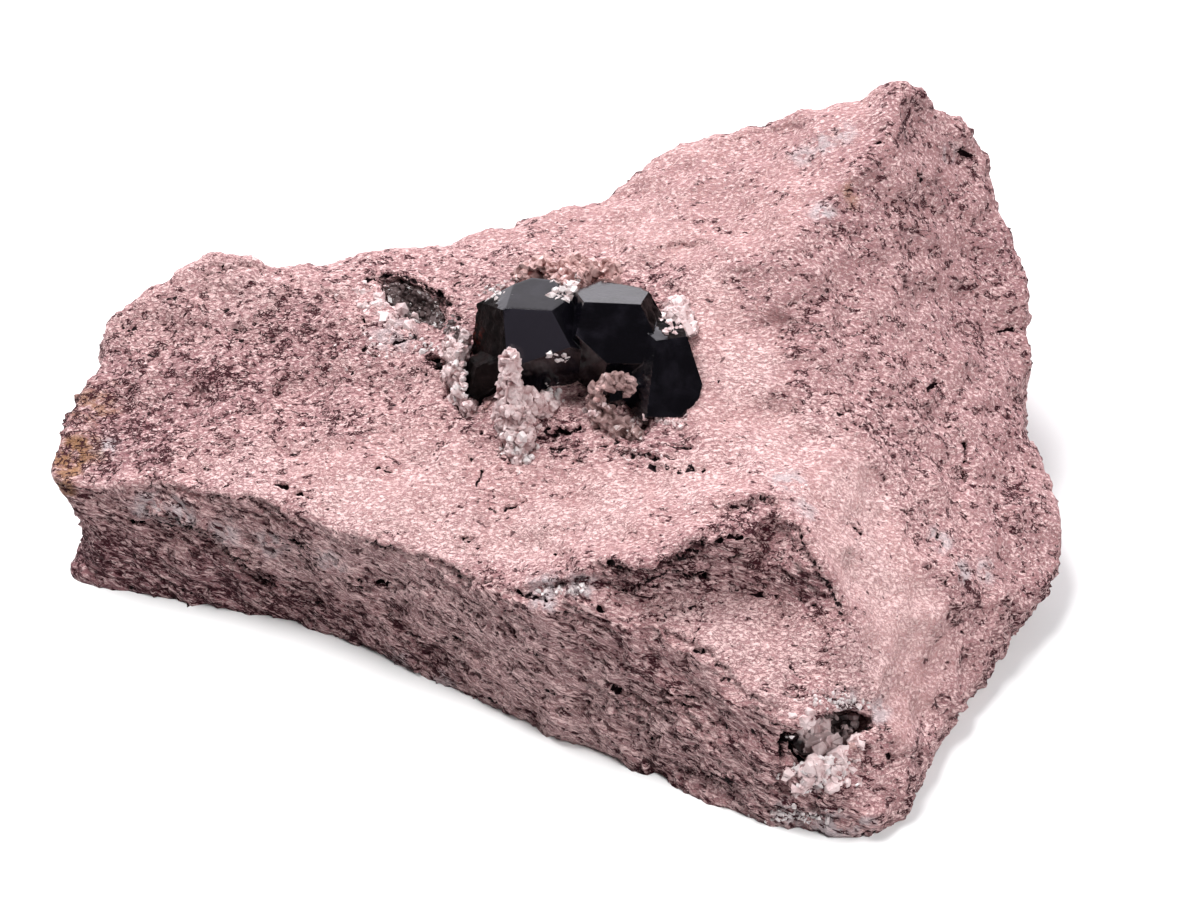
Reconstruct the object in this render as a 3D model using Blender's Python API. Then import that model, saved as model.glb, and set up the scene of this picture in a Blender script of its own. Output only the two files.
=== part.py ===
"""Garnet in matrix: dark garnets grown together on a broken block of pink rhyolite.

Lengths are in millimetres up to the point where a mesh is made, which turns them into metres.
+Z is up, -Y is the front and the underside of the block is the flat face at Z = 0.
"""

import random
from math import cos, radians, sin

import bmesh
import bpy
from mathutils import Matrix, Vector, geometry, noise

MM = 0.001
GAP = 0.32                      # clearance between pieces that touch

# ---- the block: its brim, seen from above and counter-clockwise from the west tip --------------
# Each station is (brim x, y, z, foot x, y, belly); belly pushes the wall out at half its height.
BRIM = (
    (-44.0, -1.8, 9.6, -43.2, -3.4, -2.3),
    (-42.8, -3.4, 9.2, -42.6, -4.8, -2.3),
    (-39.0, -3.8, 9.6, -39.0, -5.8, -1.6),
    (-35.0, -4.3, 10.5, -35.0, -6.7, -0.8),
    (-31.0, -6.0, 11.0, -31.3, -7.4, -0.4),
    (-27.0, -7.3, 11.5, -27.0, -8.5, 0.0),
    (-23.0, -9.0, 11.5, -23.0, -9.6, 0.0),
    (-19.5, -11.2, 11.5, -19.5, -11.6, 0.0),
    (-12.5, -14.5, 11.5, -12.5, -16.0, 0.2),
    (-7.5, -18.5, 12.0, -7.5, -19.3, 0.2),
    (-4.0, -20.5, 12.3, -3.2, -22.2, 0.2),
    (0.0, -21.0, 12.5, 0.2, -24.1, 0.3),
    (3.5, -22.0, 12.5, 3.6, -26.2, 0.3),
    (7.5, -24.5, 11.0, 7.7, -28.9, 0.3),
    (11.0, -27.0, 9.5, 11.0, -30.6, 0.3),
    (15.0, -29.0, 8.0, 14.6, -32.0, 0.3),
    (17.2, -30.8, 4.5, 17.5, -32.8, 0.2),
    (20.6, -32.5, 1.6, 20.6, -32.6, 0.2),
    (23.2, -30.4, 1.6, 22.8, -30.4, 0.2),
    (26.1, -23.7, 1.8, 25.2, -23.7, 0.0),
    (28.6, -19.7, 2.2, 27.4, -19.7, 0.0),
    (31.6, -14.7, 2.6, 30.2, -14.5, 0.0),
    (35.5, -8.5, 3.2, 33.6, -8.5, 0.0),
    (36.7, -5.0, 4.2, 34.6, -5.0, 0.0),
    (36.6, -1.6, 6.0, 34.5, -1.6, 0.0),
    (35.5, 1.0, 7.0, 33.8, 1.4, 0.3),
    (34.5, 4.0, 8.0, 33.2, 4.6, 0.5),
    (34.2, 7.2, 9.2, 33.0, 8.0, 0.5),
    (35.0, 11.8, 12.0, 33.4, 12.6, 0.5),
    (35.0, 15.0, 14.0, 33.6, 16.4, 0.5),
    (34.3, 18.3, 15.5, 32.6, 20.0, 0.4),
    (32.6, 20.6, 18.0, 31.2, 23.0, 0.6),
    (31.0, 24.6, 21.5, 29.6, 25.8, 0.8),
    (29.2, 25.2, 24.2, 27.8, 26.8, 1.0),
    (26.4, 24.4, 27.3, 25.4, 27.2, 1.0),
    (24.1, 23.8, 29.5, 23.0, 27.4, 1.0),
    (21.2, 23.8, 27.0, 19.6, 27.2, 1.0),
    (16.3, 24.1, 26.0, 16.0, 26.8, 1.0),
    (13.1, 23.6, 24.0, 12.0, 26.2, 1.0),
    (8.2, 23.6, 23.0, 7.6, 25.4, 1.0),
    (3.7, 22.2, 22.0, 3.2, 24.4, 1.0),
    (0.8, 19.4, 20.0, -0.6, 22.4, 1.0),
    (-4.9, 18.5, 19.0, -5.6, 21.0, 1.0),
    (-11.4, 16.4, 18.5, -11.8, 19.2, 1.0),
    (-17.9, 15.1, 18.0, -18.4, 17.8, 1.0),
    (-25.6, 13.5, 17.5, -25.8, 16.2, 0.8),
    (-30.9, 14.0, 19.0, -31.0, 15.6, 0.6),
    (-36.2, 12.8, 16.0, -35.4, 13.4, 0.4),
    (-40.4, 10.7, 14.0, -39.2, 10.8, 0.2),
    (-40.5, 7.5, 12.5, -40.0, 7.4, 0.0),
    (-42.0, 4.9, 11.0, -40.8, 4.2, -0.4),
    (-43.0, 1.5, 10.0, -41.6, 0.8, -1.0),
)
WALL_BOTTOM = -1.6              # the wall runs on below the underside, which is cut flat after it

# ---- the block: lines where its top breaks, and single heights between them ---------------------
RIDGE = (
    (22.9, 17.8, 27.5), (19.1, 12.6, 26.0), (15.8, 8.2, 25.0), (13.4, 6.6, 24.0), (9.1, 7.5, 22.5),
)
LEDGE_RIM = (
    (-0.4, -19.5, 15.6), (3.0, -20.2, 16.6), (6.4, -19.1, 17.5), (10.2, -18.3, 18.0),
    (11.1, -14.6, 18.5), (14.1, -14.9, 18.0), (15.6, -18.0, 16.7), (18.6, -22.7, 11.9),
)
LEDGE_TREAD = (
    (0.6, -20.6, 12.4), (6.1, -20.0, 12.6), (12.4, -19.6, 12.4), (17.0, -22.4, 11.0),
)
TREAD_EDGE = (
    (3.8, -21.5, 12.5), (7.6, -23.6, 11.3), (11.0, -26.2, 10.0), (15.1, -28.2, 8.4),
)
WEST_BENCH = (
    (-38.9, 9.8, 14.3), (-34.0, 11.1, 16.6), (-27.5, 11.1, 17.2), (-20.2, 11.0, 17.8),
)
WEST_TROUGH = (
    (-38.0, 3.4, 11.3), (-32.0, 3.6, 12.1), (-24.0, 3.0, 13.2), (-15.9, 1.6, 14.9), (-12.2, -0.6, 15.8),
)
BREAKS = (RIDGE, LEDGE_RIM, LEDGE_TREAD, TREAD_EDGE, WEST_BENCH, WEST_TROUGH)
HEIGHTS = (
    (-32.2, 8.0, 14.9), (-31.9, -1.5, 11.6), (-24.1, 8.0, 16.0), (-23.9, -2.5, 12.6),
    (-16.0, 6.2, 17.2), (-15.8, -3.0, 14.0), (-11.9, 1.9, 16.8),
    (-13.3, -7.4, 13.5), (-5.5, -4.1, 15.8), (-5.4, -10.2, 14.0), (0.0, -4.7, 16.3),
    (3.1, -12.4, 16.0), (5.5, -6.2, 17.3), (9.3, -5.6, 18.2), (12.3, -10.4, 18.2),
    (7.9, 2.7, 20.2), (12.6, 2.5, 20.5), (-3.2, 12.1, 19.5), (3.2, 11.8, 21.0),
    (8.1, 16.6, 22.3), (14.5, 16.4, 24.5), (24.1, 15.1, 23.5), (28.6, 18.8, 20.5),
    (19.9, 7.4, 21.5), (24.0, 7.6, 19.3), (31.0, 13.3, 14.5), (17.3, 0.6, 20.0),
    (23.7, -1.1, 15.4), (30.5, 3.8, 12.0), (19.4, -7.6, 16.2), (23.5, -5.1, 14.1),
    (19.2, -15.4, 13.7), (28.4, -7.5, 9.7), (25.5, -17.2, 8.4), (21.3, -25.4, 7.6),
    (31.5, -12.1, 5.6), (22.8, -28.2, 4.6),
)

# ---- the block: how its broken surface is worked ------------------------------------------------
VOXEL = 0.55
SMOOTHING_PASSES = 2
SWELL = 0.30                    # makes up for what the smoothing takes off
LUMP_SIZE, LUMP_DEPTH = 7.0, 0.45
CHIP_SIZE, CHIP_DEPTH = 2.4, 0.38
BLOCK_TRIANGLES = 7200

# ---- the garnets: each facet is (azimuth, elevation, distance from the crystal's centre) --------
# Azimuth 0 faces the front (-Y) and 90 faces +X; the last rows close each crystal in the rock.
GARNET_MIDDLE = ((1.2, 1.4, 20.8), (
    (-1, 38, 2.95), (174, 70, 3.45), (89, 32, 3.70), (53, -3, 3.80), (-1, -11, 3.45),
    (-33, -5, 3.30), (-82, 23, 3.85), (161, 25, 4.15), (-128, 51, 4.55), (130, 10, 3.80),
    (-130, 5, 3.80), (20, -60, 4.50), (-80, -50, 4.50), (140, -50, 4.50),
))
GARNET_LEFT = ((-5.8, 1.8, 20.0), (
    (-5, 35, 3.15), (178, 90, 4.05), (48, 45, 4.50), (11, -9, 3.20), (-62, 14, 2.90),
    (-101, 58, 4.15), (-118, 0, 4.40), (170, 22, 4.20), (-150, 36, 4.20), (120, 19, 4.30),
    (-20, -55, 4.20), (100, -45, 4.20), (-120, -50, 4.20),
))
GARNET_RIGHT = ((5.5, -1.3, 19.0), (
    (27, 35, 2.25), (151, 80, 3.80), (83, -12, 2.50), (5, -34, 3.70), (-59, 30, 3.05),
    (160, 15, 3.30), (-120, 20, 3.20), (104, 12, 2.10), (60, -55, 3.60), (-60, -45, 3.60),
    (170, -45, 3.60),
))
GARNET_FOOT = ((-8.9, 0.3, 17.4), (
    (-20, 30, 1.60), (-75, 20, 1.50), (-60, -30, 1.80), (20, -20, 1.70), (180, 20, 2.00),
    (100, 10, 2.00), (-140, 10, 1.80), (0, -75, 2.40), (-100, 60, 1.80),
))
GARNET_BUD = ((1.3, -3.0, 18.9), (
    (-10, 40, 0.85), (60, 10, 0.90), (-70, 15, 0.85), (10, -30, 0.95), (175, 20, 1.60),
    (120, 60, 1.10), (-120, 50, 1.10), (90, -50, 1.40), (-100, -50, 1.40),
))
GARNETS = (GARNET_LEFT, GARNET_MIDDLE, GARNET_RIGHT, GARNET_FOOT, GARNET_BUD)

# ---- the quartz that grew round the garnets: (x, y, z, radius) of each stubby crystal -----------
SPUR = (
    (-6.9, -2.3, 21.6, 0.75), (-7.0, -2.6, 20.5, 1.00), (-7.1, -3.1, 19.1, 1.20),
    (-6.9, -3.6, 17.6, 1.50), (-6.5, -4.6, 16.1, 1.50), (-6.5, -5.8, 15.0, 1.15),
    (-5.6, -3.0, 17.6, 1.15), (-4.3, -2.5, 16.9, 0.95),
)
COLLAR = (
    (-11.3, 3.8, 18.3, 1.00), (-11.4, 2.4, 17.8, 1.15), (-11.2, 0.9, 17.2, 1.25),
    (-11.0, -0.6, 16.3, 1.10), (-10.2, -1.7, 15.9, 0.90),
)
CAP = (
    (-2.5, 5.4, 22.9, 1.30), (-2.7, 4.2, 23.3, 0.90), (-3.3, 6.8, 22.6, 1.20),
    (-4.7, 7.3, 22.5, 1.10), (-6.0, 7.0, 22.5, 0.85), (-2.0, 7.6, 22.0, 1.40),
    (-0.7, 8.2, 21.7, 1.20), (0.7, 7.8, 21.9, 1.10),
)
FRINGE = (
    (2.4, -3.5, 20.0, 0.65), (1.5, -3.4, 20.4, 0.70), (0.6, -3.3, 20.0, 0.70),
    (0.0, -3.4, 19.3, 0.75), (-0.3, -3.7, 18.4, 0.85), (0.2, -4.3, 17.4, 1.00),
    (1.4, -4.9, 16.7, 1.00), (2.8, -5.7, 16.6, 0.90),
)
NUB = (
    (6.2, 3.4, 20.9, 1.15), (6.9, 2.4, 20.5, 0.90), (6.0, 4.6, 20.8, 0.95),
)
STUB_LENGTH = 2.6               # a stubby crystal's length in radii
STUB_POINT = 0.45               # share of that length taken up by its two points

# ---- the two vugs: centre, half-sizes, heading of the long axis, and the way it opens -----------
BACK_VUG = ((-14.9, 9.1, 17.9), (3.9, 1.9, 2.6), (0.72, -0.69, -0.08), (-0.10, -0.28, 0.95))
FRONT_VUG = ((17.2, -28.0, 6.2), (3.7, 1.8, 2.6), (0.88, 0.45, 0.10), (0.28, -0.58, 0.76))
VUG_UNEVENNESS = 0.22           # how far a hollow's wall wanders, as a share of its radius
LINING = 0.12                   # thickness of the crystal lining
LINING_SHARPNESS = 0.34         # how far its points stand into the hollow, as a share of its radius
LINING_TOP = 0.70               # how far under the mouth the lining ends

SEED = 11

RHYOLITE_PINK = (0.55, 0.33, 0.33)
GARNET_BLACK = (0.012, 0.010, 0.014)
QUARTZ_WHITE = (0.78, 0.68, 0.67)
DRUSE_GREY = (0.22, 0.17, 0.16)


def clear_scene():
    """Remove whatever the file holds."""
    for obj in list(bpy.data.objects):
        bpy.data.objects.remove(obj, do_unlink=True)


def finish(name, colour, roughness, metallic=0.0):
    """A plain Principled material."""
    material = bpy.data.materials.new(name)
    material.use_nodes = True
    shader = material.node_tree.nodes["Principled BSDF"]
    shader.inputs["Base Color"].default_value = (*colour, 1.0)
    shader.inputs["Roughness"].default_value = roughness
    shader.inputs["Metallic"].default_value = metallic
    return material


def add_object(name, bm, material=None):
    """Turn a bmesh in millimetres into an object in metres; without a material it is a cutter."""
    bmesh.ops.scale(bm, vec=(MM, MM, MM), verts=bm.verts)
    mesh = bpy.data.meshes.new(name)
    bm.to_mesh(mesh)
    bm.free()
    obj = bpy.data.objects.new(name, mesh)
    bpy.context.scene.collection.objects.link(obj)
    if material is None:
        obj.hide_render = True
        obj.display_type = 'WIRE'
    else:
        mesh.materials.append(material)
    return obj


def boolean(obj, other, operation):
    """Add an exact Boolean modifier."""
    modifier = obj.modifiers.new(other.name, 'BOOLEAN')
    modifier.operation = operation
    modifier.solver = 'EXACT'
    modifier.object = other


def modified_mesh(obj):
    """A new mesh that holds the object with its modifiers worked out."""
    depsgraph = bpy.context.evaluated_depsgraph_get()
    return bpy.data.meshes.new_from_object(obj.evaluated_get(depsgraph))


# ---- the block ----------------------------------------------------------------------------------

def add_top(bm):
    """Triangulate the top between the brim, the breaks and the single heights."""
    points = [Vector(station[:3]) for station in BRIM]
    border = list(range(len(points)))
    edges = []
    for line in BREAKS:
        first = len(points)
        points.extend(Vector(point) for point in line)
        edges.extend((i, i + 1) for i in range(first, len(points) - 1))
    points.extend(Vector(point) for point in HEIGHTS)
    flat = [point.to_2d() for point in points]
    inside_constraints = 1
    _, _, faces, sources, _, _ = geometry.delaunay_2d_cdt(
        flat, edges, [border], inside_constraints, 1e-4)
    verts = [bm.verts.new(points[source[0]]) for source in sources]
    for face in faces:
        bm.faces.new([verts[i] for i in face])
    by_point = {source[0]: vert for source, vert in zip(sources, verts)}
    return [by_point[i] for i in border]


def add_wall(bm, brim):
    """Run the wall from the brim over its belly to the foot, and close it underneath."""
    belly, foot = [], []
    for x, y, z, foot_x, foot_y, push in BRIM:
        outward = Vector((x, y)).normalized() * push
        belly.append(bm.verts.new(((x + foot_x) / 2 + outward.x, (y + foot_y) / 2 + outward.y, z / 2)))
        foot.append(bm.verts.new((foot_x, foot_y, WALL_BOTTOM)))
    count = len(brim)
    for upper, lower in ((brim, belly), (belly, foot)):
        for i in range(count):
            j = (i + 1) % count
            bm.faces.new((upper[j], upper[i], lower[i], lower[j]))
    bm.faces.new(list(reversed(foot)))


def roughen(bm):
    """Smooth the voxel steps away, then push lumps and chips into the surface."""
    for _ in range(SMOOTHING_PASSES):
        bmesh.ops.smooth_vert(bm, verts=bm.verts, factor=0.5, use_axis_x=True, use_axis_y=True,
                              use_axis_z=True)
    bm.normal_update()
    moves = []
    for vert in bm.verts:
        place = vert.co / MM
        lump = noise.fractal(place / LUMP_SIZE, 1.0, 2.0, 2)
        chip = noise.noise(place / CHIP_SIZE)
        moves.append(vert.normal * (SWELL + LUMP_DEPTH * lump + CHIP_DEPTH * chip) * MM)
    for vert, move in zip(bm.verts, moves):
        vert.co += move


def cut_flat(bm):
    """Cut everything below Z = 0 away and close the cut with one flat face."""
    everything = bm.verts[:] + bm.edges[:] + bm.faces[:]
    bmesh.ops.bisect_plane(bm, geom=everything, plane_co=(0, 0, 0), plane_no=(0, 0, 1),
                           clear_inner=True)
    open_edges = [edge for edge in bm.edges if edge.is_boundary]
    bmesh.ops.holes_fill(bm, edges=open_edges, sides=0)
    bmesh.ops.recalc_face_normals(bm, faces=bm.faces)
    bmesh.ops.triangulate(bm, faces=bm.faces)


def build_block(material):
    """The rhyolite block, without its pockets."""
    bm = bmesh.new()
    brim = add_top(bm)
    add_wall(bm, brim)
    bmesh.ops.recalc_face_normals(bm, faces=bm.faces)
    block = add_object("rhyolite_matrix", bm, material)

    remesh = block.modifiers.new("Remesh", 'REMESH')
    remesh.mode = 'VOXEL'
    remesh.voxel_size = VOXEL * MM
    fine = modified_mesh(block)
    block.modifiers.remove(remesh)
    bm = bmesh.new()
    bm.from_mesh(fine)
    roughen(bm)
    bm.to_mesh(fine)
    bm.free()
    block.data = fine

    decimate = block.modifiers.new("Decimate", 'DECIMATE')
    decimate.use_collapse_triangulate = True
    fine.calc_loop_triangles()
    decimate.ratio = BLOCK_TRIANGLES / len(fine.loop_triangles)
    coarse = modified_mesh(block)
    block.modifiers.remove(decimate)
    bm = bmesh.new()
    bm.from_mesh(coarse)
    cut_flat(bm)
    bm.to_mesh(coarse)
    bm.free()
    block.data = coarse
    return block


# ---- the garnets --------------------------------------------------------------------------------

def facet_normal(azimuth, elevation):
    """The way a facet looks."""
    azimuth, elevation = radians(azimuth), radians(elevation)
    return Vector((sin(azimuth) * cos(elevation), -cos(azimuth) * cos(elevation), sin(elevation)))


def slice_off(bm, point, normal):
    """Cut away what lies beyond a plane and close the cut with a facet."""
    everything = bm.verts[:] + bm.edges[:] + bm.faces[:]
    cut = bmesh.ops.bisect_plane(bm, geom=everything, plane_co=point, plane_no=normal,
                                 clear_outer=True)
    edges = [item for item in cut["geom_cut"] if isinstance(item, bmesh.types.BMEdge)]
    if edges:
        bmesh.ops.edgeloop_fill(bm, edges=edges)


def build_garnet(name, crystal, grow=0.0, material=None):
    """One crystal: a cube cut down to the planes of its facets."""
    centre, facets = crystal
    centre = Vector(centre)
    bm = bmesh.new()
    bmesh.ops.create_cube(bm, size=30.0, matrix=Matrix.Translation(centre))
    for azimuth, elevation, distance in facets:
        normal = facet_normal(azimuth, elevation)
        slice_off(bm, centre + normal * (distance + grow), normal)
    bmesh.ops.recalc_face_normals(bm, faces=bm.faces)
    return add_object(name, bm, material)


def build_garnets(name, grow=0.0, material=None):
    """The garnets fused into one solid; with grow and no material, their pocket."""
    first = build_garnet(name, GARNETS[0], grow, material)
    for number, crystal in enumerate(GARNETS[1:], start=2):
        boolean(first, build_garnet(f"{name}_{number}", crystal, grow), 'UNION')
    return first


# ---- the quartz ---------------------------------------------------------------------------------

def build_stub(name, place, radius, turn, material=None):
    """One stubby six-sided crystal with a point at each end."""
    length = STUB_LENGTH * radius
    point = STUB_POINT * length / 2
    bm = bmesh.new()
    bmesh.ops.create_cone(bm, cap_ends=True, segments=6, radius1=radius, radius2=radius,
                          depth=length - 2 * point)
    for sign in (-1, 1):
        cap = next(face for face in bm.faces if face.normal.z * sign > 0.9)
        tip = bmesh.ops.poke(bm, faces=[cap])["verts"][0]
        tip.co.z += sign * point
    bmesh.ops.transform(bm, matrix=Matrix.Translation(place) @ turn, verts=bm.verts)
    bmesh.ops.recalc_face_normals(bm, faces=bm.faces)
    return add_object(name, bm, material)


def build_cluster(name, spots, grow=0.0, material=None):
    """Stubby crystals fused into one solid; with grow and no material, their pocket."""
    dice = random.Random(f"{SEED} {spots[0]}")
    cluster = None
    for number, (x, y, z, radius) in enumerate(spots, start=1):
        turn = Matrix.Rotation(dice.uniform(0, radians(360)), 4, 'Z')
        turn = turn @ Matrix.Rotation(dice.uniform(radians(10), radians(60)), 4, 'X')
        label = name if cluster is None else f"{name}_{number}"
        stub = build_stub(label, (x, y, z), radius + grow, turn, material if cluster is None else None)
        if cluster is None:
            cluster = stub
        else:
            boolean(cluster, stub, 'UNION')
    return cluster


# ---- the vugs -----------------------------------------------------------------------------------

def vug_frame(vug):
    """The vug's own axes as a matrix: X along it, Z out of its mouth."""
    centre, _, heading, opening = vug
    z_axis = Vector(opening).normalized()
    x_axis = Vector(heading)
    x_axis = (x_axis - z_axis * x_axis.dot(z_axis)).normalized()
    y_axis = z_axis.cross(x_axis)
    turn = Matrix((x_axis, y_axis, z_axis)).transposed().to_4x4()
    return Matrix.Translation(centre) @ turn


def add_hollow(bm, vug, shrink, dice=None):
    """An uneven ellipsoid; with dice, every point of it stands in by its own amount."""
    half = [size - shrink for size in vug[1]]
    bmesh.ops.create_icosphere(bm, subdivisions=2, radius=1.0)
    for vert in bm.verts:
        vert.co *= 1.0 + VUG_UNEVENNESS * noise.noise(vert.co * 1.4 + Vector(vug[0]))
        if dice:
            vert.co *= 1.0 - LINING_SHARPNESS * dice.random()
    bmesh.ops.transform(bm, matrix=vug_frame(vug) @ Matrix.Diagonal((*half, 1.0)), verts=bm.verts)


def build_hollow(name, vug, shrink=0.0, material=None):
    """The hollow of a vug, or the outer skin of its lining."""
    bm = bmesh.new()
    add_hollow(bm, vug, shrink)
    return add_object(name, bm, material)


def build_lining(name, vug, material):
    """The crust of small crystals that lines a vug, open at its mouth."""
    lining = build_hollow(name, vug, GAP, material)
    bm = bmesh.new()
    add_hollow(bm, vug, GAP + LINING, random.Random(f"{SEED} {name}"))
    boolean(lining, add_object(f"{name}_hollow", bm), 'DIFFERENCE')

    lid_size = 4 * max(vug[1])
    lid = Matrix.Translation((0, 0, lid_size / 2 - LINING_TOP))
    bm = bmesh.new()
    bmesh.ops.create_cube(bm, size=lid_size, matrix=vug_frame(vug) @ lid)
    boolean(lining, add_object(f"{name}_mouth", bm), 'DIFFERENCE')
    return lining


# ---- the whole specimen -------------------------------------------------------------------------

def centre_on_base(objects):
    """Hang every object on one empty, and move it so that the base's middle is the origin."""
    depsgraph = bpy.context.evaluated_depsgraph_get()
    corners = []
    for obj in objects:
        mesh = obj.evaluated_get(depsgraph).data
        corners.extend(vert.co for vert in mesh.vertices)
    low = [min(corner[axis] for corner in corners) for axis in range(3)]
    high = [max(corner[axis] for corner in corners) for axis in range(3)]
    specimen = bpy.data.objects.new("specimen", None)
    bpy.context.scene.collection.objects.link(specimen)
    for obj in list(bpy.data.objects):
        if obj is not specimen:
            obj.parent = specimen
    specimen.location = (-(low[0] + high[0]) / 2, -(low[1] + high[1]) / 2, -low[2])


def main():
    """Build the specimen."""
    clear_scene()
    rock = finish("rhyolite", RHYOLITE_PINK, 0.9)
    garnet = finish("garnet", GARNET_BLACK, 0.12)
    quartz = finish("quartz", QUARTZ_WHITE, 0.35)
    druse = finish("druse", DRUSE_GREY, 0.5)

    block = build_block(rock)
    pieces = [block, build_garnets("garnet_crystals", material=garnet)]
    garnet_pocket = build_garnets("garnet_pocket", GAP)
    boolean(block, garnet_pocket, 'DIFFERENCE')
    clusters = (("quartz_spur", SPUR), ("quartz_collar", COLLAR), ("quartz_cap", CAP),
                ("quartz_fringe", FRINGE), ("quartz_nub", NUB))
    for name, spots in clusters:
        cluster = build_cluster(name, spots, material=quartz)
        boolean(cluster, garnet_pocket, 'DIFFERENCE')
        boolean(block, build_cluster(f"{name}_pocket", spots, GAP), 'DIFFERENCE')
        pieces.append(cluster)
    for name, vug in (("vug_druse_back", BACK_VUG), ("vug_druse_front", FRONT_VUG)):
        boolean(block, build_hollow(f"{name}_cavity", vug), 'DIFFERENCE')
        pieces.append(build_lining(name, vug, druse))
    centre_on_base(pieces)


main()
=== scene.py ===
"""Looks of the garnet in matrix: broken pink rhyolite, black garnets, quartz, vugs and the studio.

Every length named here is in millimetres unless its name says otherwise; MM turns it into metres.
Places on the rock are given as (across, down) in a picture frame of 1200 x 900 and cast onto it.
"""

import logging
import math
import random
from dataclasses import dataclass
from enum import Enum

import bmesh
import bpy
from mathutils import Matrix, Vector, noise
from mathutils.bvhtree import BVHTree
from mathutils.kdtree import KDTree


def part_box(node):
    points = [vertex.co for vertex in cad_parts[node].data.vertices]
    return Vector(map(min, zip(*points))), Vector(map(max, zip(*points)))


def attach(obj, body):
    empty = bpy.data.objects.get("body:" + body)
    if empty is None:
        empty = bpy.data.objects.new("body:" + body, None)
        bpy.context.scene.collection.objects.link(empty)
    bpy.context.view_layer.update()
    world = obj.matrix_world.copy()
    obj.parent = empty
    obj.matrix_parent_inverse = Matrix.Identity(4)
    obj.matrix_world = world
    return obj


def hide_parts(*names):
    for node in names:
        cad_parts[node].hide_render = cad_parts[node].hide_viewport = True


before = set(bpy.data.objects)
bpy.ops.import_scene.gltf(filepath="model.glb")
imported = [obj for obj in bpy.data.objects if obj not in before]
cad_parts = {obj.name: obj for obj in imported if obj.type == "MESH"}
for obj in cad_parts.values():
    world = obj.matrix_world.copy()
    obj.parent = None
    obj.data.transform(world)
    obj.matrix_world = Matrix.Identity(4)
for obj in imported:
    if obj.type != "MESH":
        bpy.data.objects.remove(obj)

MM = 0.001
BODY = "root"
LOG = logging.getLogger("garnet_in_matrix")
NOISE_SEED = 5

Colour = tuple[float, float, float]
Place = tuple[float, float, float]
Spot = tuple[float, float]
Path = tuple[Spot, ...]
Range = tuple[float, float]
Band = tuple[float, float, float, float]
Row = tuple[float, float, float, float]
Span = tuple[Vector, Vector]
Socket = bpy.types.NodeSocket


def smoothstep(low: float, high: float, value: float) -> float:
    """Ease from 0 at low to 1 at high."""
    share = min(1.0, max(0.0, (value - low) / (high - low)))
    return share * share * (3.0 - 2.0 * share)


# ---- the camera ---------------------------------------------------------------------------------

@dataclass(frozen=True)
class Viewpoint:
    """The camera, which also turns places in the picture frame into rays."""

    elevation: float = 42.0
    distance: float = 350.0
    target: Place = (3.45, 2.6, 10.0)
    lens: float = 131.25
    sensor: float = 36.0
    width: int = 1200
    height: int = 900
    nearest_metres: float = 0.01

    def axes(self) -> Span:
        """The way the camera looks, and its own upward way.

        Returns:
            Two unit vectors in world space.
        """
        angle = math.radians(self.elevation)
        ahead = Vector((0.0, math.cos(angle), -math.sin(angle)))
        up = Vector((0.0, math.sin(angle), math.cos(angle)))
        return ahead, up

    def focal(self) -> float:
        """The focal length, in the picture frame's own units."""
        return self.lens / self.sensor * self.width

    def location(self) -> Vector:
        """Where the camera stands, in metres."""
        return (Vector(self.target) - self.axes()[0] * self.distance) * MM

    def ray(self, spot: Spot) -> Vector:
        """Direction from the camera through a place in the picture frame.

        Args:
            spot: across and down, in the picture frame.

        Returns:
            A unit vector in world space.
        """
        ahead, up = self.axes()
        across, down = spot[0] - self.width / 2, spot[1] - self.height / 2
        return (ahead * self.focal() + Vector((across, 0.0, 0.0)) - up * down).normalized()

    def spot(self, place: Vector) -> Spot:
        """Where a place lands in the picture frame.

        Args:
            place: where it is, in metres.

        Returns:
            Across and down.
        """
        ahead, up = self.axes()
        apart = place - self.location()
        scale = self.focal() / apart.dot(ahead)
        return self.width / 2 + apart.x * scale, self.height / 2 - apart.dot(up) * scale

    def build(self) -> bpy.types.Object:
        """Make the camera and hand it to the scene.

        Returns:
            The camera.
        """
        data = bpy.data.cameras.new("camera")
        data.lens = self.lens
        data.sensor_width = self.sensor
        data.clip_start = self.nearest_metres
        camera = bpy.data.objects.new("camera", data)
        camera.location = self.location()
        camera.rotation_euler = (math.radians(90.0 - self.elevation), 0.0, 0.0)
        bpy.context.scene.collection.objects.link(camera)
        bpy.context.scene.camera = camera
        return camera


# ---- materials ----------------------------------------------------------------------------------

class Trait(Enum):
    """What a mesh can carry at each point for its material to read."""

    # Painted shade in the rock's cracks and fissures and under its broken edges; on the garnets, how
    # dull a facet is.
    SHADE_AND_DULL = "pit"
    # Painted shade where a point lies below its neighbours, and in the quartz's painted shadow spots.
    HOLLOW_SHADE = "hollow"
    STAIN = "stain"
    VEIN = "vein"
    # Mauve ground: partly the rock's own tone, partly painted shade under the ledge and on the right
    # face.
    MAUVE_AND_SHADE = "mauve"
    WALL = "wall"
    # Pale ground on the rock, partly its own cream tone and partly painted light; a painted sheen on the
    # garnets.
    PALE_AND_LIT = "pale"
    CLEAN = "clean"


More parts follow.
